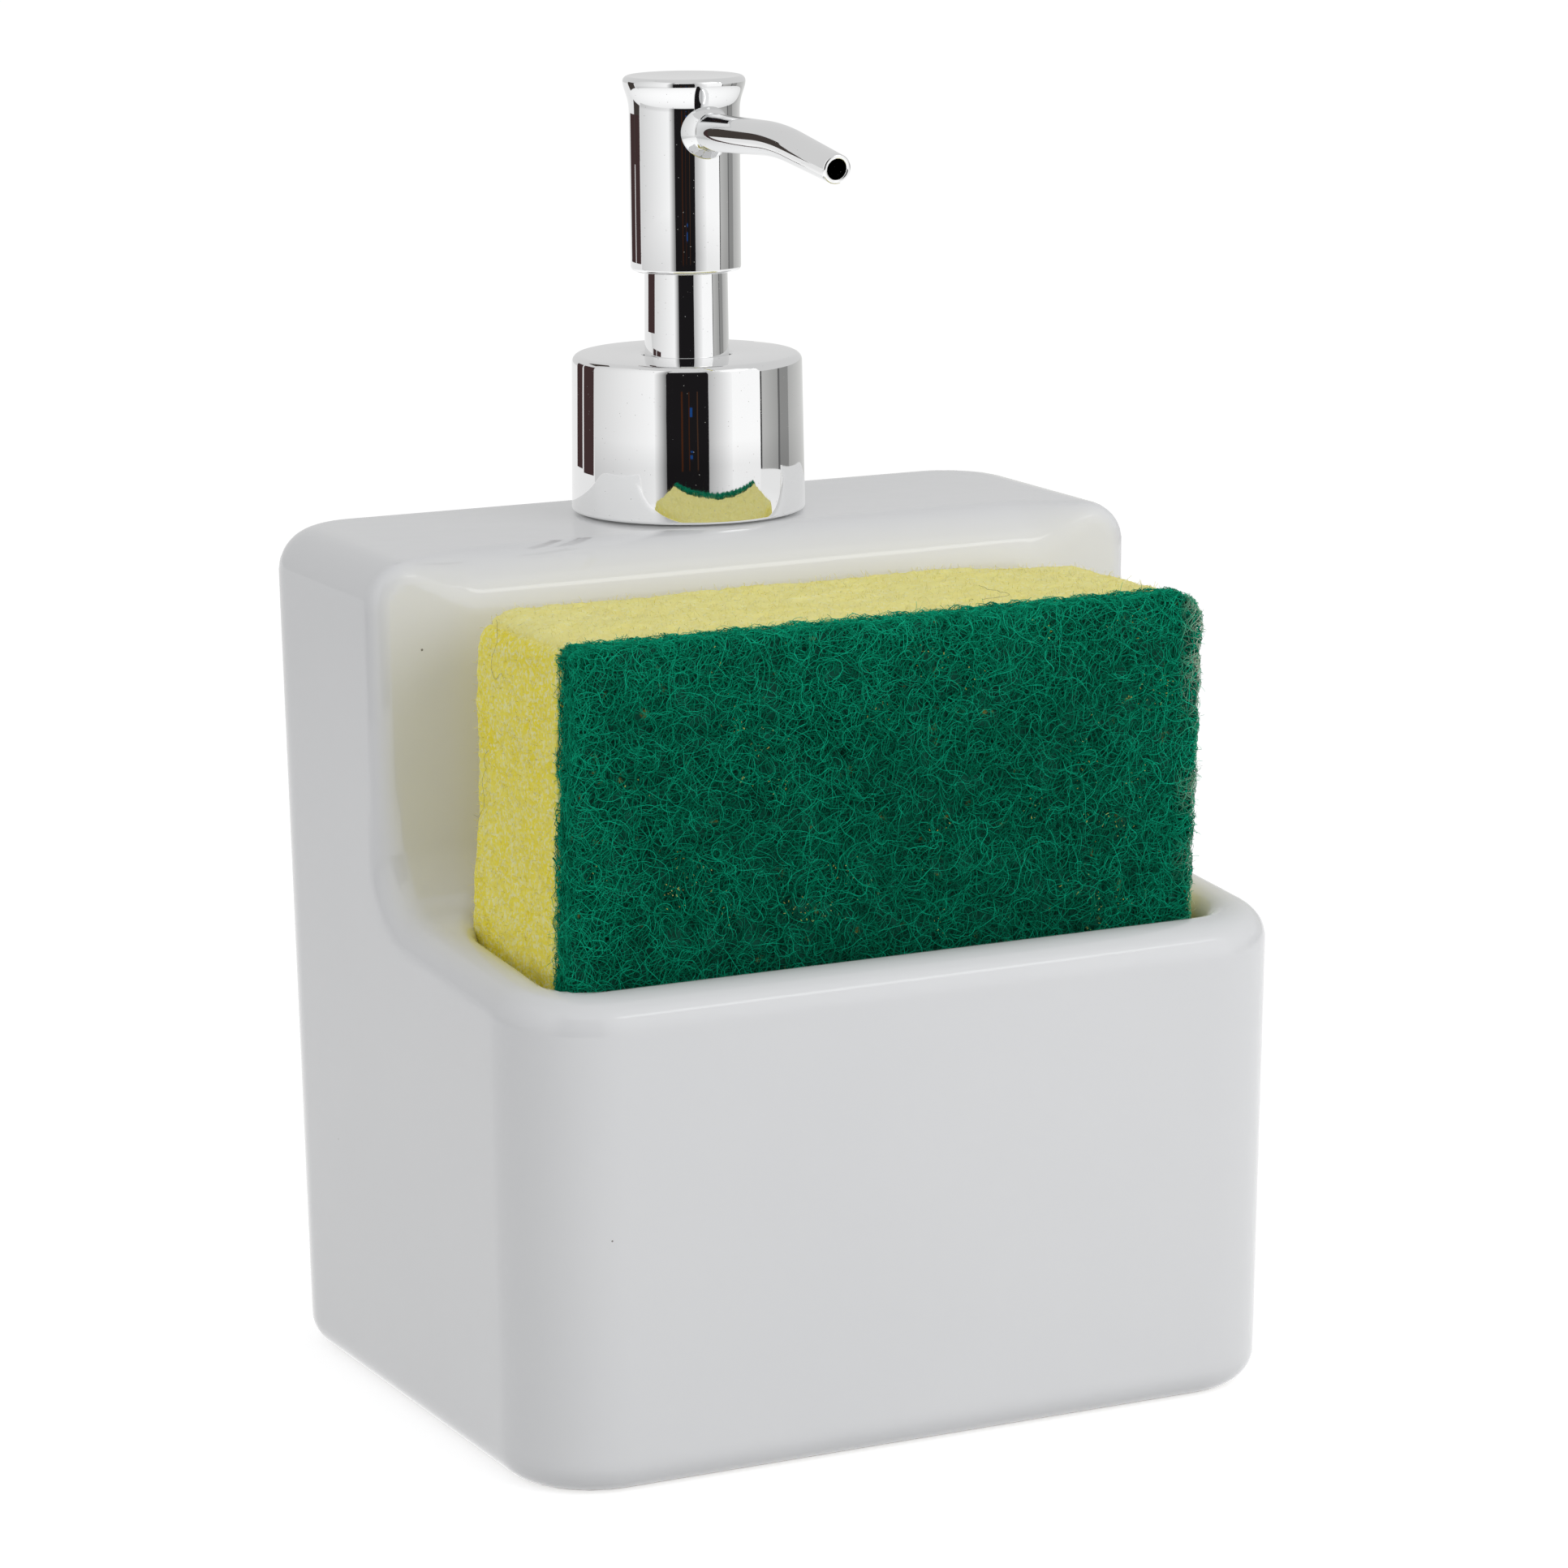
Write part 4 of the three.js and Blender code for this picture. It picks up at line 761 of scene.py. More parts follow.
def folded(x, z, height, turn_back):
    """Flat drawing of the pad bent round its edge: an arc, then straight back, mirrored at turn_back."""
    distance, nx, nz = outline_distance(x, z)
    height = np.minimum(height, 0.3 + 0.9 * np.clip((-1.0 - distance) / 3, 0, 1))
    over = np.maximum(distance + PAD_EDGE, 0)
    angle = np.minimum(over / PAD_EDGE, np.pi / 2)
    past = np.maximum(over - PAD_EDGE * np.pi / 2, 0)
    reach = (PAD_EDGE + height) * np.sin(angle) - over
    back = PAD_EDGE - (PAD_EDGE + height) * np.cos(angle) + past
    back = np.maximum(turn_back - np.abs(turn_back - back), np.minimum(back, 0.8))
    return x + nx * reach, PAD_FRONT + 0.7 + back, z + nz * reach


def thread_lines(count, points, rng, rise):
    """Curly lines: heading = start + bend * length + a wave, summed by steps, ends sunk in the core."""
    x0 = rng.uniform(-SPONGE_HALF - 6.0, SPONGE_HALF + 6.0, (count, 1))
    z0 = rng.uniform(-2.0, SPONGE_HEIGHT + 6.0, (count, 1))
    length = rng.uniform(4.0, 9.0, (count, 1))
    t = np.linspace(0, 1, points)[None, :]
    bend = rng.normal(0, 2.9, (count, 1)) * t
    swing = rng.uniform(0.2, 1.1, (count, 1))
    wave = swing * np.sin(rng.uniform(4, 9, (count, 1)) * t + rng.uniform(0, 6, (count, 1)))
    heading = rng.uniform(0, 2 * np.pi, (count, 1)) + bend + wave
    step = length / (points - 1)
    x = x0 + np.cumsum(np.cos(heading), axis=1) * step
    z = z0 + np.cumsum(np.sin(heading), axis=1) * step
    top = rng.gamma(2.0, rise / 2, (count, 1))
    wobble = 0.15 * np.sin(rng.uniform(6, 12, (count, 1)) * t + rng.uniform(0, 6, (count, 1)))
    height = -0.45 + (top + 0.45) * np.sin(np.pi * t) ** 0.6 + wobble
    return x, z, np.clip(height, -0.6, 1.2)


def tubes(lines, radius, sides=RING_SIDES):
    """Thin closed tubes along lines of points: a ring square to the line at each point, and two caps."""
    ahead = unit(np.gradient(lines, axis=1))
    across = unit(np.cross(ahead, np.array([0.37, -0.87, 0.33])))
    other = np.cross(ahead, across)
    u = np.arange(sides) * 2 * np.pi / sides
    ring = across[..., None, :] * np.cos(u)[:, None] + other[..., None, :] * np.sin(u)[:, None]
    points = lines[..., None, :] + radius[:, None, None, None] * ring
    count, steps = lines.shape[:2]
    quads = grid_faces(steps, sides, wrap_rows=False)
    quads = (np.arange(count)[:, None, None] * steps * sides + quads).reshape(-1, 4)
    first = np.arange(count)[:, None] * steps * sides
    ends = np.arange(sides)
    caps = np.concatenate([first + ends[::-1], first + (steps - 1) * sides + ends])
    return points.reshape(-1, 3), quads, caps


def fibre_piece(name, lines, radius, node):
    """Many thin tubes as one piece."""
    points, quads, caps = tubes(lines, radius)
    return add_piece(name, points, quads, node, triangles=caps, join=False)


def thread_piece(name, seed, rise, thick, tone_low, tone_high):
    """A layer of threads: own greens, painted light where proud, painted shade low down, worn at the
    right.
    """
    rng = np.random.default_rng(seed)
    x, z, height = thread_lines(THREADS, THREAD_POINTS, rng, rise)
    turn_back = PAD_THICK - 0.7 + rng.uniform(-1.4, 1.1, (THREADS, 1))
    fx, fy, fz = folded(x, z, height, turn_back)
    lines = stand_in_pocket(fx, fy, np.clip(fz, 0.2, None))
    piece = fibre_piece(name, lines, rng.uniform(*thick, THREADS), "scour_pad")
    near_edge = np.exp(np.minimum(outline_distance(x, z)[0], 0) / 9)
    # Painted light where a thread stands proud and painted shadow towards the bottom, where the rim shades
    # the pad;
    # the value also rises near the outline, over each thread's own random green.
    tone_with_painted_shading = rng.uniform(tone_low, tone_high, (THREADS, 1)) + 0.35 * np.clip(height / 0.8, -0.6, 1)
    tone_with_painted_shading = tone_with_painted_shading + 0.4 * near_edge - 0.22 * np.clip(1 - z / SPONGE_HEIGHT, 0, 1)
    patchy = drift(np.stack([fx, 0 * fx, fz], axis=-1).reshape(-1, 3), 5.0, 61).reshape(fx.shape)
    high_up = np.clip(1.5 * fz / SPONGE_HEIGHT - 0.3, 0.2, 1)
    at_right = np.clip((fx - SPONGE_HALF + WORN_IN) / WORN_FADE, 0, 1) * high_up
    worn = at_right * np.clip(0.7 + patchy, 0, 1) * (rng.random((THREADS, 1)) < WORN_SHARE)
    set_values(piece, "tone_with_painted_shading", np.repeat(tone_with_painted_shading, RING_SIDES, axis=1))
    set_values(piece, "worn", np.repeat(worn, RING_SIDES, axis=1))
    return piece


# Lower layers get lower values: painted shade for the threads that lie under the others.
thread_layers = [
    thread_piece("scour_threads_deep", 101, 0.1, (0.065, 0.09), -0.3, 0.4),
    thread_piece("scour_threads_under", 102, 0.2, (0.05, 0.07), -0.1, 0.6),
    thread_piece("scour_threads_middle", 103, 0.35, (0.04, 0.055), 0.0, 0.8),
    thread_piece("scour_threads_over", 202, 0.5, (0.032, 0.046), 0.1, 1.0),
    thread_piece("scour_threads_fine", 303, 0.45, (0.026, 0.036), 0.2, 1.1),
    thread_piece("scour_threads_finest", 404, 0.6, (0.022, 0.03), 0.4, 1.5),
]

# %% [markdown]
# Threads alone would end the pad in too neat a line. So short loose ends stand out round its top and
# sides, each starting on the outline and turning as it goes, and a still finer fuzz of torn cell walls
# stands off the foam, where it softens the edge against the light.

# %% Fringe of the pad and fuzz of the foam
FRINGE, FRINGE_POINTS, FUZZ, FUZZ_POINTS = 7000, 5, 9000, 3
BURIED = 14  # how much of the sponge the rim hides


def wander(steps):
    """Running sum of steps along each line, from nothing at its first point."""
    return np.cumsum(steps, axis=1) - steps[:, :1]


rng = np.random.default_rng(515)
side = rng.choice(3, FRINGE, p=[0.45, 0.33, 0.22])
along = rng.random(FRINGE)
on_top = (2 * along - 1) * SPONGE_HALF
edge_x = np.select([side == 0, side == 1], [on_top, np.full(FRINGE, -SPONGE_HALF)], SPONGE_HALF)
edge_z = np.where(side == 0, SPONGE_HEIGHT, BURIED + along * (SPONGE_HEIGHT - BURIED))
distance, nx, nz = outline_distance(edge_x, edge_z)
t = np.linspace(0, 1, FRINGE_POINTS)[None, :]
heading = np.arctan2(nz, nx)[:, None] + rng.normal(0, 0.85, (FRINGE, 1))
heading = heading + rng.normal(0, 2.2, (FRINGE, 1)) * t
stride = rng.gamma(3.0, 0.19, (FRINGE, 1)) / 4
end_x = (edge_x - nx * (distance + 0.3))[:, None] + wander(np.cos(heading)) * stride
end_z = (edge_z - nz * (distance + 0.3))[:, None] + wander(np.sin(heading)) * stride
end_y = PAD_FRONT + rng.uniform(0.5, PAD_THICK + 0.5, (FRINGE, 1)) + rng.normal(0, 0.6, (FRINGE, 1)) * t
fringe_lines = stand_in_pocket(end_x, end_y, end_z)
fringe_radius = rng.uniform(0.02, 0.034, FRINGE)
fringe = fibre_piece("scour_fringe", fringe_lines, fringe_radius, "scour_pad")
set_values(fringe, "tone_with_painted_shading", np.repeat(rng.uniform(0.6, 1.4, FRINGE), FRINGE_POINTS * RING_SIDES))
pale_end = (side == 2) * (rng.random(FRINGE) < 0.3)
set_values(fringe, "worn", np.repeat(pale_end, FRINGE_POINTS * RING_SIDES))

pick = rng.choice(np.flatnonzero(~glued & (foam_points[:, 2] > BURIED)), FUZZ)
stray = unit(foam_out[pick] + rng.normal(0, 0.6, (FUZZ, 3)))
curl = rng.normal(0, 0.35, (FUZZ, 3))
t = np.linspace(0, 1, FUZZ_POINTS)[None, :, None]
fuzz_length = rng.uniform(0.25, 0.8, (FUZZ, 1, 1))
fuzz_own = foam_rough[pick][:, None] + (stray[:, None] * t + curl[:, None] * t * t) * fuzz_length
fuzz_lines = stand_in_pocket(*np.moveaxis(fuzz_own, -1, 0))
fuzz = fibre_piece("foam_fuzz", fuzz_lines, rng.uniform(0.02, 0.038, FUZZ), "foam_sponge")
# Each fuzz hair takes a random share of the foam finish's painted top light, so it reads paler.
set_values(fuzz, "upward", np.repeat(rng.uniform(0.4, 1.6, FUZZ), FUZZ_POINTS * RING_SIDES))

# %% [markdown]
# A used pad has picked things up: crumbs of foam sit between the threads in little clusters, more of them
# towards the upper right, and a few loose hairs lie on the foam.

# %% Crumbs and hairs
CRUMBS, CLUSTERS, HAIR_POINTS = 420, 50, 28
rng = np.random.default_rng(77)
cluster = rng.random((CLUSTERS, 2)) ** 0.75
face_size = [2 * SPONGE_HALF - 4, SPONGE_HEIGHT - 4]
home = cluster[rng.integers(0, CLUSTERS, CRUMBS)] * face_size + [2 - SPONGE_HALF, 2]
home += rng.normal(0, 1.3, (CRUMBS, 2))
crumb_height = rng.uniform(0.0, 0.35, (CRUMBS, 1))
crumb_x, crumb_y, crumb_z = folded(home[:, :1], home[:, 1:], crumb_height, PAD_THICK - 1)
crumb_start = stand_in_pocket(crumb_x, crumb_y, np.clip(crumb_z, 0.3, None))
crumb_lines = crumb_start + np.linspace(0, 1, 2)[None, :, None] * rng.normal(0, 0.15, (CRUMBS, 1, 3))
crumb_radius = rng.uniform(0.04, 0.08, CRUMBS)
crumbs = fibre_piece("foam_crumbs", crumb_lines, crumb_radius, "scour_pad")


def hair(along, start, length, seed):
    """A loose hair in a plane of two of the sponge's axes: its heading sums small random turns."""
    rng = np.random.default_rng(seed)
    heading = rng.uniform(0, 6) + np.cumsum(rng.normal(0, 0.45, HAIR_POINTS))
    line = np.tile(np.array(start, float), (HAIR_POINTS, 1))
    line[:, along[0]] += np.cumsum(np.cos(heading)) * length / HAIR_POINTS
    line[:, along[1]] += np.cumsum(np.sin(heading)) * length / HAIR_POINTS
    return stand_in_pocket(*line.T)


hair_lines = np.stack([
    hair((1, 2), (-SPONGE_HALF - 0.25, -5.0, 50.0), 14.0, 3),
    hair((1, 2), (-SPONGE_HALF - 0.25, -9.0, 60.0), 13.0, 8),
    hair((0, 1), (22.0, -12.0, SPONGE_HEIGHT + 0.25), 16.0, 5),
])
hair_radius = np.full(len(hair_lines), 0.024)
hairs = fibre_piece("loose_hairs", hair_lines, hair_radius, "foam_sponge")

# %% [markdown]
# ## Materials
# Each finish is a small node graph on Object coordinates, so it sits on the piece and not on the view.
# Effects that several finishes share are node groups: a slow drift between two colours, fine handling
# marks for polished and moulded surfaces, and sparse specks that get fired into a glaze. Two finishes
# also glow faintly, for light that a small studio lacks: the foam's back, where daylight would come
# through, and the glaze where a mirror looks at it.

# %% Node helpers
def add_node(tree, kind, inputs=None, **settings):
    """A node with its settings, its inputs set to values or linked to sockets."""
    node = tree.nodes.new(kind)
    for key, value in settings.items():
        setattr(node, key, value)
    for key, value in (inputs or {}).items():
        if isinstance(value, bpy.types.NodeSocket):
            tree.links.new(value, node.inputs[key])
        else:
            node.inputs[key].default_value = value
    return node


def new_group(name, inputs, outputs):
    """An empty shader group with named sockets; returns its tree, its input node and its output node."""
    tree = bpy.data.node_groups.new(name, "ShaderNodeTree")
    for label, kind, value in inputs:
        socket = tree.interface.new_socket(label, in_out="INPUT", socket_type=kind)
        socket.default_value = value
    for label, kind in outputs:
        tree.interface.new_socket(label, in_out="OUTPUT", socket_type=kind)
    return tree, tree.nodes.new("NodeGroupInput"), tree.nodes.new("NodeGroupOutput")


def mix_colour(tree, share, first, second):
    """Colour between two, by a share from 0 to 1."""
    node = add_node(tree, "ShaderNodeMix", {0: share, 6: first, 7: second}, data_type="RGBA")
    return node.outputs[2]


def in_range(tree, value, low, high, to_low=0.0, to_high=1.0):
    """A value stretched from one range to another, held at the ends."""
    node = add_node(tree, "ShaderNodeMapRange", {0: value, 1: low, 2: high, 3: to_low, 4: to_high})
    return node.outputs[0]


def arithmetic(tree, operation, a, b):
    """One sum of two numbers or sockets."""
    return add_node(tree, "ShaderNodeMath", {0: a, 1: b}, operation=operation).outputs[0]


def object_place(tree):
    """Place on the piece itself, in metres."""
    return add_node(tree, "ShaderNodeTexCoord").outputs["Object"]


def stored(tree, name):
    """The number that set_values stored on the piece's points."""
    return add_node(tree, "ShaderNodeAttribute", attribute_name=name).outputs["Fac"]


FLOAT, COLOUR = "NodeSocketFloat", "NodeSocketColor"

# %% Shared effects
drift_group, g_in, g_out = new_group("colour_drift", [
    ("First", COLOUR, (0.5, 0.5, 0.5, 1)), ("Second", COLOUR, (0.6, 0.6, 0.6, 1)), ("Scale", FLOAT, 60.0),
], [("Color", COLOUR), ("Value", FLOAT)])
g_where = object_place(drift_group)
g_noise = add_node(drift_group, "ShaderNodeTexNoise", {
    "Vector": g_where, "Scale": g_in.outputs["Scale"], "Detail": 4.0,
})
g_value = in_range(drift_group, g_noise.outputs["Fac"], 0.3, 0.7)
g_mixed = mix_colour(drift_group, g_value, g_in.outputs["First"], g_in.outputs["Second"])
drift_group.links.new(g_mixed, g_out.inputs["Color"])
drift_group.links.new(g_value, g_out.inputs["Value"])

marks_group, g_in, g_out = new_group("handling_marks", [
    ("Low", FLOAT, 0.05), ("High", FLOAT, 0.1), ("Scale", FLOAT, 400.0),
], [("Roughness", FLOAT), ("Height", FLOAT)])
g_where = object_place(marks_group)
g_long = add_node(marks_group, "ShaderNodeMapping", {"Vector": g_where, "Scale": (1.0, 1.0, 0.12)})
g_fine = add_node(marks_group, "ShaderNodeTexNoise", {
    "Vector": g_long.outputs[0], "Scale": g_in.outputs["Scale"], "Detail": 6.0,
})
g_smudge = add_node(marks_group, "ShaderNodeTexNoise", {"Vector": g_where, "Scale": 45.0, "Detail": 3.0})
g_share = arithmetic(marks_group, "MULTIPLY", in_range(marks_group, g_fine.outputs["Fac"], 0.45, 0.75),
                     in_range(marks_group, g_smudge.outputs["Fac"], 0.4, 0.7))
g_rough = in_range(marks_group, g_share, 0.0, 1.0, g_in.outputs["Low"], g_in.outputs["High"])
marks_group.links.new(g_rough, g_out.inputs["Roughness"])
marks_group.links.new(g_smudge.outputs["Fac"], g_out.inputs["Height"])

specks_group, g_in, g_out = new_group("fired_specks", [
    ("Spacing", FLOAT, 90.0), ("Size", FLOAT, 0.012),
], [("Mask", FLOAT)])
g_where = object_place(specks_group)
g_cells = add_node(specks_group, "ShaderNodeTexVoronoi", {
    "Vector": g_where, "Scale": g_in.outputs["Spacing"],
})
g_near = arithmetic(specks_group, "LESS_THAN", g_cells.outputs["Distance"], g_in.outputs["Size"])
g_pick = add_node(specks_group, "ShaderNodeSeparateColor", {0: g_cells.outputs["Color"]})
g_some = arithmetic(specks_group, "GREATER_THAN", g_pick.outputs[0], 0.55)
specks_group.links.new(arithmetic(specks_group, "MULTIPLY", g_near, g_some), g_out.inputs["Mask"])
print("node groups:", [g.name for g in bpy.data.node_groups])


# %% Finishes
def finish(name, **constants):
    """A material with one Principled shader and its constants; returns material, tree and shader."""
    material = bpy.data.materials.new(name)
    material.use_nodes = True
    tree = material.node_tree
    shader = tree.nodes["Principled BSDF"]
    for key, value in constants.items():
        shader.inputs[key.replace("_", " ")].default_value = value
    return material, tree, shader


def use_group(tree, group, **inputs):
    """Places a shared effect in a material with its own values."""
    node = add_node(tree, "ShaderNodeGroup", node_tree=group)
    for key, value in inputs.items():
        node.inputs[key].default_value = value
    return node


def tinted(tree, first, second, scale):
    """A slow drift between two colours."""
    tint = use_group(tree, drift_group, First=(*first, 1), Second=(*second, 1), Scale=scale)
    return tint.outputs["Color"]


def bump(tree, shader, height, strength, distance):
    """Feeds a height into the shader's normal."""
    inputs = {"Height": height, "Strength": strength, "Distance": distance}
    tree.links.new(add_node(tree, "ShaderNodeBump", inputs).outputs[0], shader.inputs["Normal"])


def handled(tree, shader, low, high, scale, strength, distance):
    """Feeds handling marks into the shader's roughness and normal."""
    marks = use_group(tree, marks_group, Low=low, High=high, Scale=scale)
    tree.links.new(marks.outputs["Roughness"], shader.inputs["Roughness"])
    bump(tree, shader, marks.outputs["Height"], strength, distance)


def set_base(tree, shader, colour):
    """Feeds a colour into the shader."""
    tree.links.new(colour, shader.inputs["Base Color"])


def shine(tree, shader, colour, strength):
    """Lets a surface glow in a colour, as strongly as a socket says."""
    shader.inputs["Emission Color"].default_value = (*colour, 1)
    tree.links.new(strength, shader.inputs["Emission Strength"])


MIRRORED_GLAZE = 0.17  # extra light from the glaze where a mirror sees it, for the photo's wider room
PINHOLE, PINHOLE_SIZE = (-0.0513, 0.0024, 0.1064), 0.00017  # one fault in the glaze, on the block's face
glaze, tree, shader = finish("glazed_ceramic", IOR=1.52)
tint = tinted(tree, (0.75, 0.758, 0.773), (0.765, 0.772, 0.785), 22.0)
specks = use_group(tree, specks_group)
where = object_place(tree)
height_of = add_node(tree, "ShaderNodeSeparateXYZ", {0: where})
bare = in_range(tree, height_of.outputs[2], 0.0003, 0.0008, 1.0, 0.0)
pinhole = add_node(tree, "ShaderNodeVectorMath", {0: where, 1: PINHOLE}, operation="DISTANCE")
in_pinhole = arithmetic(tree, "LESS_THAN", pinhole.outputs["Value"], PINHOLE_SIZE)
dark_dot = arithmetic(tree, "MAXIMUM", specks.outputs["Mask"], in_pinhole)
clean = mix_colour(tree, dark_dot, tint, (0.2, 0.19, 0.18, 1))
set_base(tree, shader, mix_colour(tree, bare, clean, (0.62, 0.58, 0.52, 1)))
marks = use_group(tree, marks_group, Low=0.035, High=0.07, Scale=120.0)
rough = in_range(tree, bare, 0.0, 1.0, marks.outputs["Roughness"], 0.85)
tree.links.new(rough, shader.inputs["Roughness"])
bump(tree, shader, marks.outputs["Height"], 0.05, 0.002)
in_mirror = add_node(tree, "ShaderNodeLightPath").outputs["Is Glossy Ray"]
shine(tree, shader, (1, 1, 0.98), arithmetic(tree, "MULTIPLY", in_mirror, MIRRORED_GLAZE))

chrome, tree, shader = finish("chrome_plate", Metallic=1.0)
tint = tinted(tree, (0.80, 0.805, 0.81), (0.84, 0.84, 0.84), 30.0)
dust = use_group(tree, specks_group, Spacing=1500.0, Size=0.09)
set_base(tree, shader, mix_colour(tree, dust.outputs["Mask"], tint, (0.5, 0.5, 0.5, 1)))
tree.links.new(in_range(tree, dust.outputs["Mask"], 0.0, 1.0, 1.0, 0.2), shader.inputs["Metallic"])
handled(tree, shader, 0.02, 0.07, 500.0, 0.04, 0.001)


def moulded(name, first, second, low, high, **constants):
    """Moulded plastic or rubber: a slow drift of colour, and a fine grain in gloss and height."""
    material, tree, shader = finish(name, **constants)
    set_base(tree, shader, tinted(tree, first, second, 90.0))
    handled(tree, shader, low, high, 900.0, 0.1, 0.0005)
    return material


white_plastic = moulded("white_plastic", (0.74, 0.74, 0.72), (0.78, 0.78, 0.76), 0.35, 0.5)
natural_plastic = moulded("natural_plastic", (0.62, 0.65, 0.64), (0.70, 0.72, 0.70), 0.28, 0.42,
                          Subsurface_Weight=0.15, Subsurface_Scale=0.002)
seal_rubber = moulded("seal_rubber", (0.035, 0.035, 0.036), (0.05, 0.05, 0.05), 0.6, 0.8)
spring_steel = moulded("spring_steel", (0.42, 0.42, 0.43), (0.5, 0.5, 0.5), 0.22, 0.35, Metallic=1.0)

LIGHT_THROUGH = 0.13  # glow of the foam's back, for the daylight that comes through it
sponge_foam, tree, shader = finish(
    "sponge_foam", Roughness=1.0, Subsurface_Weight=0.2, Subsurface_Scale=0.004,
    Subsurface_Radius=(1.0, 0.85, 0.25), Specular_IOR_Level=0.0)
tint = tinted(tree, (0.95, 0.81, 0.06), (0.97, 0.86, 0.16), 200.0)
pits = stored(tree, "pit_depth")
where = object_place(tree)
cells = add_node(tree, "ShaderNodeTexVoronoi", {"Vector": where, "Scale": 2600.0})
cell_pick = add_node(tree, "ShaderNodeSeparateColor", {0: cells.outputs["Color"]})
pale_cell = in_range(tree, cell_pick.outputs[0], 0.45, 1.0, 0.0, 0.8)
# Faces that look upward are painted paler, a painted top light, over the foam's real cream specks.
upward = stored(tree, "upward")
pale = arithmetic(tree, "MAXIMUM", pale_cell, arithmetic(tree, "MULTIPLY", upward, 0.5))
paler = mix_colour(tree, pale, tint, (0.96, 0.94, 0.56, 1))
# Painted shade in the opened bubbles: the colour darkens with each pit's depth.
deep = arithmetic(tree, "MULTIPLY", pits, 0.14)
set_base(tree, shader, mix_colour(tree, deep, paler, (0.72, 0.56, 0.03, 1)))
bump(tree, shader, cells.outputs["Distance"], 0.3, 0.0003)
through = arithmetic(tree, "MULTIPLY", stored(tree, "rearward"), LIGHT_THROUGH)
shine(tree, shader, (0.85, 0.79, 0.42), through)

scour_fibre, tree, shader = finish("scour_fibre", Roughness=0.7, Specular_IOR_Level=0.04)
tone_with_painted_shading = stored(tree, "tone_with_painted_shading")
worn = stored(tree, "worn")
tint = tinted(tree, (0.0003, 0.18, 0.093), (0.0005, 0.245, 0.13), 110.0)
# Low values mix in a dark green and high values a light green: painted shade and painted light,
# over each thread's own random green.
sunk, proud = in_range(tree, tone_with_painted_shading, 0.0, 0.45, 0.75, 0.0), in_range(tree, tone_with_painted_shading, 0.6, 1.3, 0.0, 0.9)
darker = mix_colour(tree, sunk, tint, (0.0003, 0.05, 0.03, 1))
lighter = mix_colour(tree, proud, darker, (0.008, 0.56, 0.32, 1))
set_base(tree, shader, mix_colour(tree, worn, lighter, (0.52, 0.64, 0.50, 1)))

hair_dark, tree, shader = finish("hair_dark", Roughness=0.5)
tint = tinted(tree, (0.16, 0.15, 0.06), (0.26, 0.24, 0.10), 400.0)
set_base(tree, shader, tint)

crumb_foam, tree, shader = finish("crumb_foam", Roughness=0.9, Specular_IOR_Level=0.1)
tint = tinted(tree, (0.42, 0.41, 0.05), (0.80, 0.76, 0.24), 300.0)
set_base(tree, shader, tint)

scour_core, tree, shader = finish("scour_core", Roughness=0.9, Specular_IOR_Level=0.15)
# The core's dark green is painted shade for the depths of the fibre web; the glue specks in it are real.
tint = tinted(tree, (0.0003, 0.04, 0.024), (0.0006, 0.10, 0.06), 700.0)
where = object_place(tree)
grit = add_node(tree, "ShaderNodeTexNoise", {"Vector": where, "Scale": 420.0, "Detail": 2.0})
glue = arithmetic(tree, "MULTIPLY", in_range(tree, grit.outputs["Fac"], 0.68, 0.74), 0.5)
set_base(tree, shader, mix_colour(tree, glue, tint, (0.30, 0.22, 0.03, 1)))
bump(tree, shader, grit.outputs["Fac"], 0.8, 0.001)

# %% Give every piece its finish
for piece, material in [
    (casting_piece, glaze), (collar, chrome), (sleeve, chrome), (head, chrome), (spout, chrome),
    (neck, white_plastic), (cap, white_plastic), (barrel, natural_plastic), (tube, natural_plastic),
    (foam, sponge_foam), (fuzz, sponge_foam), (core, scour_core), (crumbs, crumb_foam), (hairs, hair_dark),
    *((layer, scour_fibre) for layer in [*thread_layers, fringe]),
]:
    paint(piece, material)
CAD_FINISH = [
    (glaze, ["ceramic_body"]),
    (chrome, ["collar_shell", "guide_sleeve", "pump_head", "spout"]),
    (white_plastic, ["neck_insert", "stem_guide", "inner_closure", "actuator_core"]),
    (natural_plastic, ["pump_housing", "dip_tube", "stem"]),
    (spring_steel, ["inlet_ball", "return_spring", "outlet_ball"]),
    (seal_rubber, ["pump_gasket", "piston_seal"]),
    (sponge_foam, ["foam_sponge"]),
    (scour_core, ["scour_pad"]),
]
for material, nodes in CAD_FINISH:
    for node in nodes:
        paint(frame["nodes"][node], material)
print("finishes:", sorted(m.name for m in bpy.data.materials if m.users))

# %% [markdown]
# ## Floor, room and light
# The photograph is a studio shot on pure white. The room is white where the camera or a mirror looks at
# it, and lights the object at a plain level otherwise. The floor adds just enough glow, for those same
# rays, to reach white beside the object, so that only its shadow shows. Chrome and glaze need something
# to mirror: bright and dark cards stand round the object, seen by reflections alone, and small flags
# close to the pump give the collar and the spout their dark left side.

# %% Floor and room
ROOM_LIGHT, FLOOR_GLOW, MIRROR_ROOM, MIRROR_FLOOR, MIRROR_NEAR = 0.545, 0.68, 0.73, 0.92, 0.3
NEAR_FLOOR, FAR_FLOOR = 0.2, 0.6  # distances between which the mirrored floor fades, in metres
floor_grid = np.stack(np.meshgrid(np.linspace(-3, 3, 3), np.linspace(-3, 3, 3), indexing="ij"), axis=-1)
floor_mesh = bpy.data.meshes.new("floor")
floor_points = np.concatenate([floor_grid.reshape(-1, 2), np.zeros((9, 1))], axis=1)
floor_mesh.from_pydata(floor_points.tolist(), [], grid_faces(3, 3, False, False)[:, ::-1].tolist())
floor = in_scene("floor", floor_mesh)


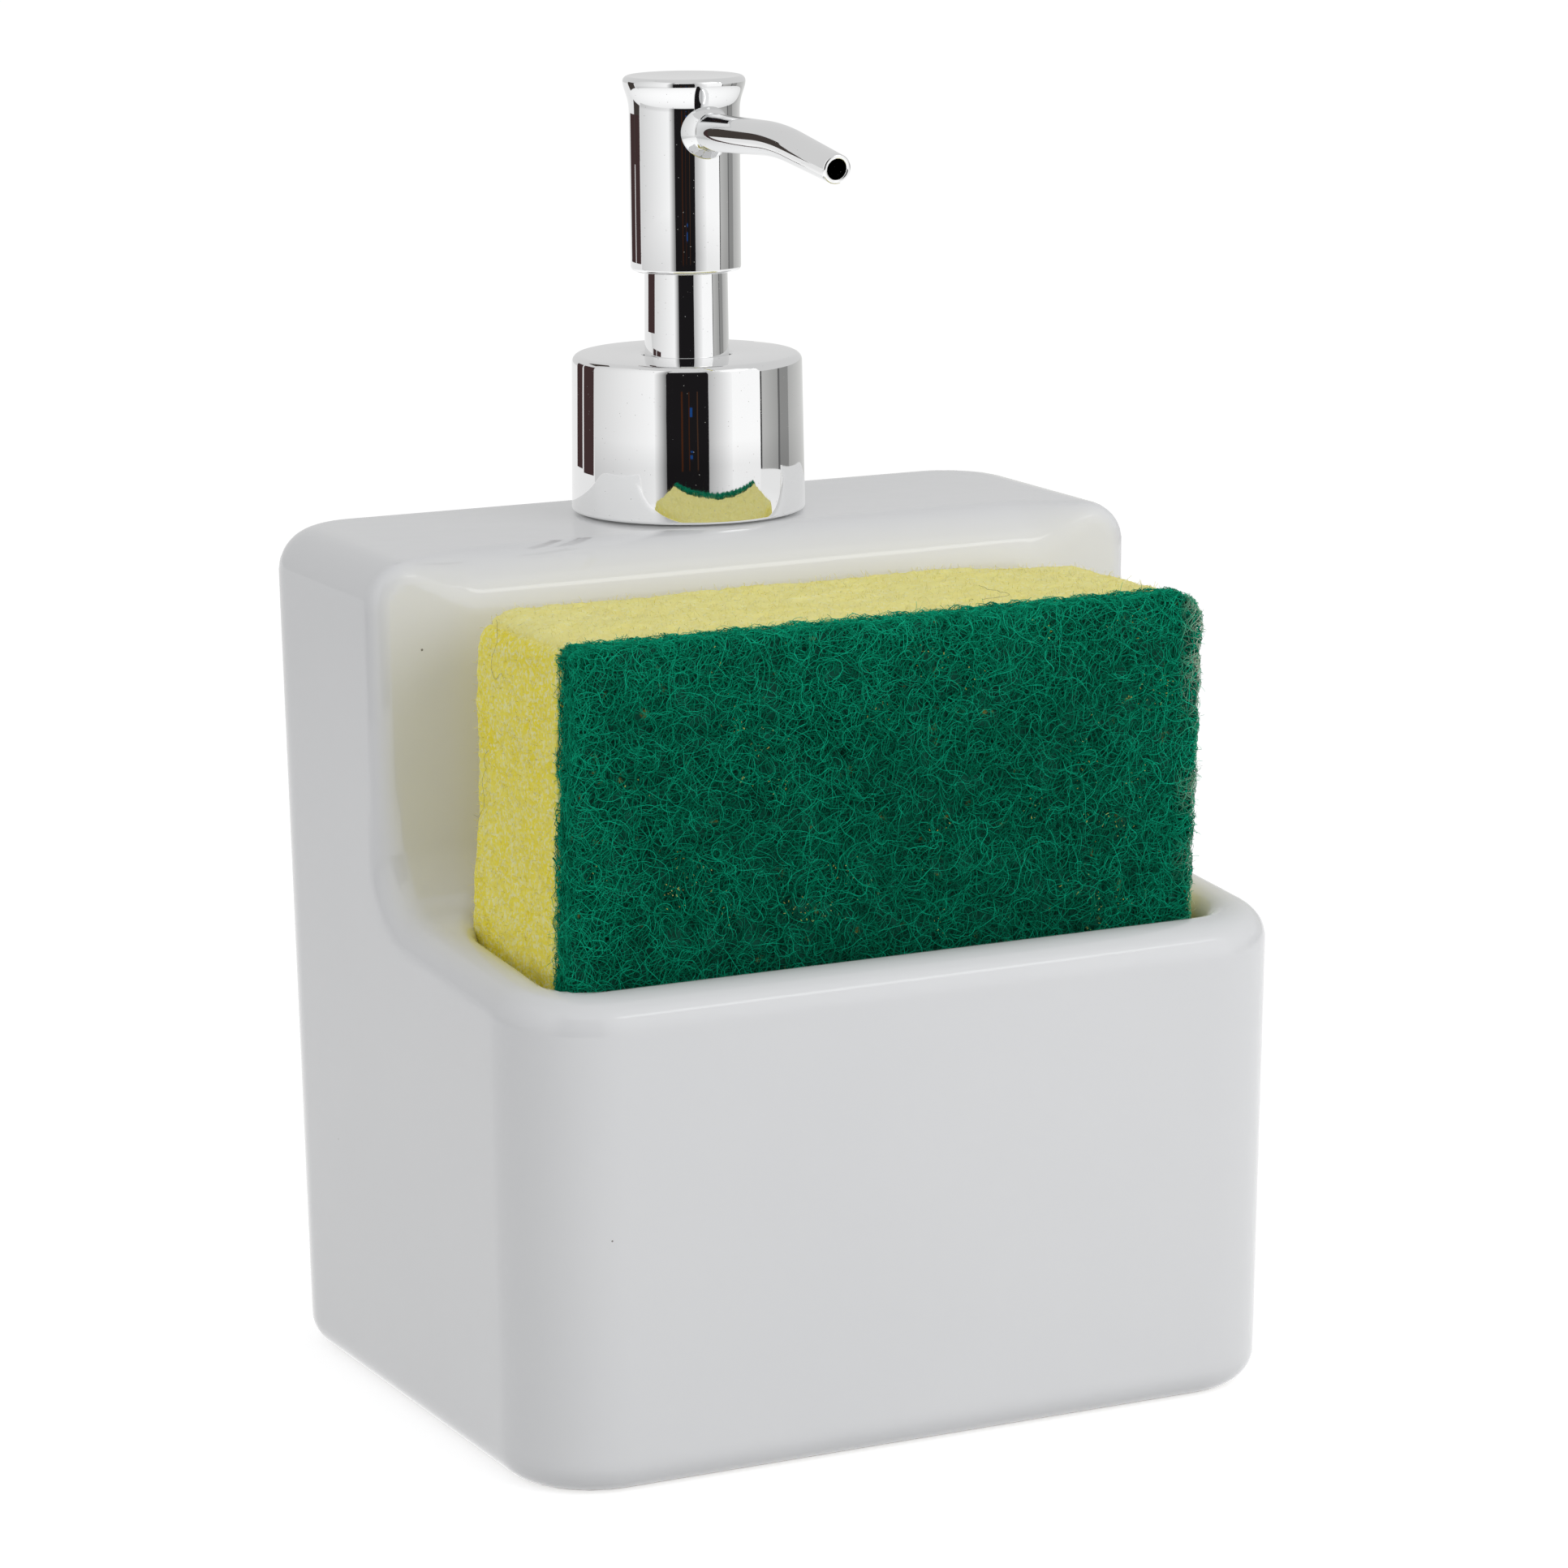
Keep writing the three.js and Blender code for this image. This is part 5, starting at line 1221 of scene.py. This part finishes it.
def ray_kinds(tree):
    """Two switches: 1 for rays from the camera or through clear glass, and 1 for rays off a mirror."""
    path = add_node(tree, "ShaderNodeLightPath").outputs
    direct = arithmetic(tree, "MAXIMUM", path["Is Camera Ray"], path["Is Transmission Ray"])
    return direct, path["Is Glossy Ray"]


def weighed(tree, pairs):
    """Sum of socket times weight over a list of pairs."""
    total = arithmetic(tree, "MULTIPLY", *pairs[0])
    for value, weight in pairs[1:]:
        total = arithmetic(tree, "ADD", total, arithmetic(tree, "MULTIPLY", value, weight))
    return total


floor_white, tree, shader = finish("floor_white", Roughness=1.0, Specular_IOR_Level=0.0)
direct, mirrored = ray_kinds(tree)
away = add_node(tree, "ShaderNodeVectorMath", {0: object_place(tree)}, operation="LENGTH")
bright = MIRROR_FLOOR + MIRROR_NEAR
near = in_range(tree, away.outputs["Value"], NEAR_FLOOR, FAR_FLOOR, bright, MIRROR_FLOOR)
set_base(tree, shader, mix_colour(tree, mirrored, (0.62, 0.62, 0.62, 1), (0, 0, 0, 1)))
shine(tree, shader, (1, 1, 1), weighed(tree, [(direct, FLOOR_GLOW), (mirrored, near)]))
paint(floor, floor_white)

room = bpy.data.worlds.new("white_room")
room.use_nodes = True
bpy.context.scene.world = room
tree = room.node_tree
direct, mirrored = ray_kinds(tree)
added = weighed(tree, [(direct, 1.0 - ROOM_LIGHT), (mirrored, MIRROR_ROOM - ROOM_LIGHT)])
tree.links.new(arithmetic(tree, "ADD", added, ROOM_LIGHT), tree.nodes["Background"].inputs["Strength"])
tree.nodes["Background"].inputs["Color"].default_value = (1, 1, 1, 1)

# %% Cards to mirror
PANEL_DISTANCE, LINE_DISTANCE = 0.5, 0.49
CARD_LOW, CARD_HIGH, CARD_FOOT_SHADE = 0.045, 0.075, 0.86  # heights over which a card's dim foot clears
FLAG_SHADE = (0.06, 0.035, 0.035)
toward_camera = math.atan2(CAMERA_PLACE[1], CAMERA_PLACE[0])


def mirror_card(name, corners, shade, fade=(1.0, 1.0)):
    """Upright strip from low points to high ones, seen in mirrors alone: dim at its foot, fading along."""
    low, high = corners
    mesh = bpy.data.meshes.new(name)
    faces = grid_faces(2, len(low), False, False)
    mesh.from_pydata(np.concatenate([low, high]).tolist(), [], faces.tolist())
    card = in_scene(name, mesh)
    material, tree, shader = finish(name, Roughness=1.0, Specular_IOR_Level=0.0)
    shader.inputs["Base Color"].default_value = (0, 0, 0, 1)
    height = add_node(tree, "ShaderNodeSeparateXYZ", {0: object_place(tree)}).outputs[2]
    set_values(card, "along", np.tile(np.linspace(0, 1, len(low)), 2))
    along = stored(tree, "along")
    upward = in_range(tree, height, CARD_LOW, CARD_HIGH, CARD_FOOT_SHADE, 1.0)
    glow = arithmetic(tree, "MULTIPLY", upward, in_range(tree, along, 0.0, 1.0, *fade))
    shine(tree, shader, shade, glow)
    paint(card, material)
    card.visible_camera = card.visible_diffuse = card.visible_shadow = card.visible_transmission = False


def round_panel(name, start, end, foot, top, shade, fade=(1.0, 1.0),
                distance=PANEL_DISTANCE, axis=(0.0, 0.0)):
    """Card on a cylinder round an upright axis, between two angles to the camera's right."""
    angle = toward_camera + np.radians(np.linspace(start, end, 9))
    x, y = axis[0] + np.cos(angle) * distance, axis[1] + np.sin(angle) * distance
    rim = np.stack([x, y, 0 * angle], axis=-1)
    mirror_card(name, (rim + [0, 0, foot], rim + [0, 0, top]), shade, fade)


CARDS = [
    ("card_white_left", -106, -34, 0.0, 0.9, (1.1, 1.1, 1.1), (0.7, 1.0)),
    ("card_soft_left", -34, -22, 0.0, 0.9, (1.1, 1.1, 1.1), (0.95, 0.2)),
    ("card_dark_front", -22, 21, 0.0, 0.5, (0.012, 0.011, 0.012)),
    ("card_soft_right", 21, 46, 0.0, 0.9, (1.1, 1.1, 1.1), (0.5, 1.0)),
    ("card_white_right", 46, 79, 0.0, 0.9, (1.15, 1.15, 1.15)),
    ("card_dark_right_slit", 79, 81, 0.04, 0.16, (0.06, 0.06, 0.06)),
    ("card_grey_right", 81, 104, 0.04, 0.16, (0.56, 0.56, 0.55), (1.0, 0.72)),
    ("card_dark_right", 104, 107, 0.04, 0.16, (0.15, 0.15, 0.15)),
    ("card_grey_right_far", 107, 122, 0.044, 0.16, (0.3, 0.3, 0.295)),
    ("card_pale_right_far", 122, 180, 0.044, 0.16, (0.55, 0.55, 0.54), (0.9, 1.5)),
]
LINES = [
    ("line_brown_left", -7, -5.2, 0.04, 0.14, (0.06, 0.02, 0.009)),
    ("line_brown_mid", 0.5, 1.6, 0.04, 0.14, (0.05, 0.018, 0.009)),
    ("line_blue_upper", 2.2, 5.0, 0.0645, 0.0665, (0.012, 0.06, 0.22)),
    ("line_blue_lower", 1.8, 4.4, 0.056, 0.061, (0.012, 0.06, 0.22)),
    ("line_blue_head", 1.8, 4.4, 0.11, 0.121, (0.012, 0.06, 0.22)),
    ("line_brown_right", 9.0, 10.2, 0.04, 0.14, (0.06, 0.03, 0.018)),
]
for card in CARDS:
    round_panel(*card)
for line in LINES:
    round_panel(*line, distance=LINE_DISTANCE)
FLAGS = [
    ("flag_collar_near", -76.5, -63.5, 0.124, 0.1415, 0.0195),
    ("flag_collar_far", -89, -78.5, 0.1245, 0.1415, 0.0195),
    ("flag_sleeve", -80, -58, 0.144, 0.1525, 0.0071),
    ("flag_head_near", -76.5, -64, 0.1535, 0.1745, 0.0093),
    ("flag_head_far", -97, -78.5, 0.1535, 0.1745, 0.0093),
]
for name, start, end, foot, top, reach in FLAGS:
    round_panel(name, start, end, foot, top, FLAG_SHADE, distance=reach, axis=PUMP_AXIS * MM)
flag_foot = np.array([[-0.042, 0.056, 0.163], [-0.026, 0.064, 0.163]])
mirror_card("flag_by_spout", (flag_foot, flag_foot + [0, 0, 0.024]), (0.06, 0.05, 0.045))


# %% Lamps
AIM_HEIGHT = 0.08  # height of the caddy's middle that the lamps point at


def soft_lamp(name, angle, rise, distance, size, watts):
    """Square area lamp aimed at the caddy's middle: angle to the camera's right and rise in degrees."""
    a, e = toward_camera + math.radians(angle), math.radians(rise)
    away = np.array([math.cos(a) * math.cos(e), math.sin(a) * math.cos(e), math.sin(e)])
    data = bpy.data.lights.new(name, "AREA")
    data.shape, data.size, data.energy = "SQUARE", size, watts
    side = unit(np.cross([0, 0, 1.0], away))
    turn = np.eye(4)
    turn[:3, :3] = np.stack([side, np.cross(away, side), away], axis=1)
    turn[:3, 3] = away * distance + [0, 0, AIM_HEIGHT]
    in_scene(name, data).matrix_world = Matrix(turn.tolist())


soft_lamp("key_right", 56, 22, 0.6, 0.45, 1.36)
soft_lamp("fill_left", -36, 20, 1.1, 0.9, 1.85)

# %% Finish
bpy.context.scene.view_settings.view_transform = "Standard"
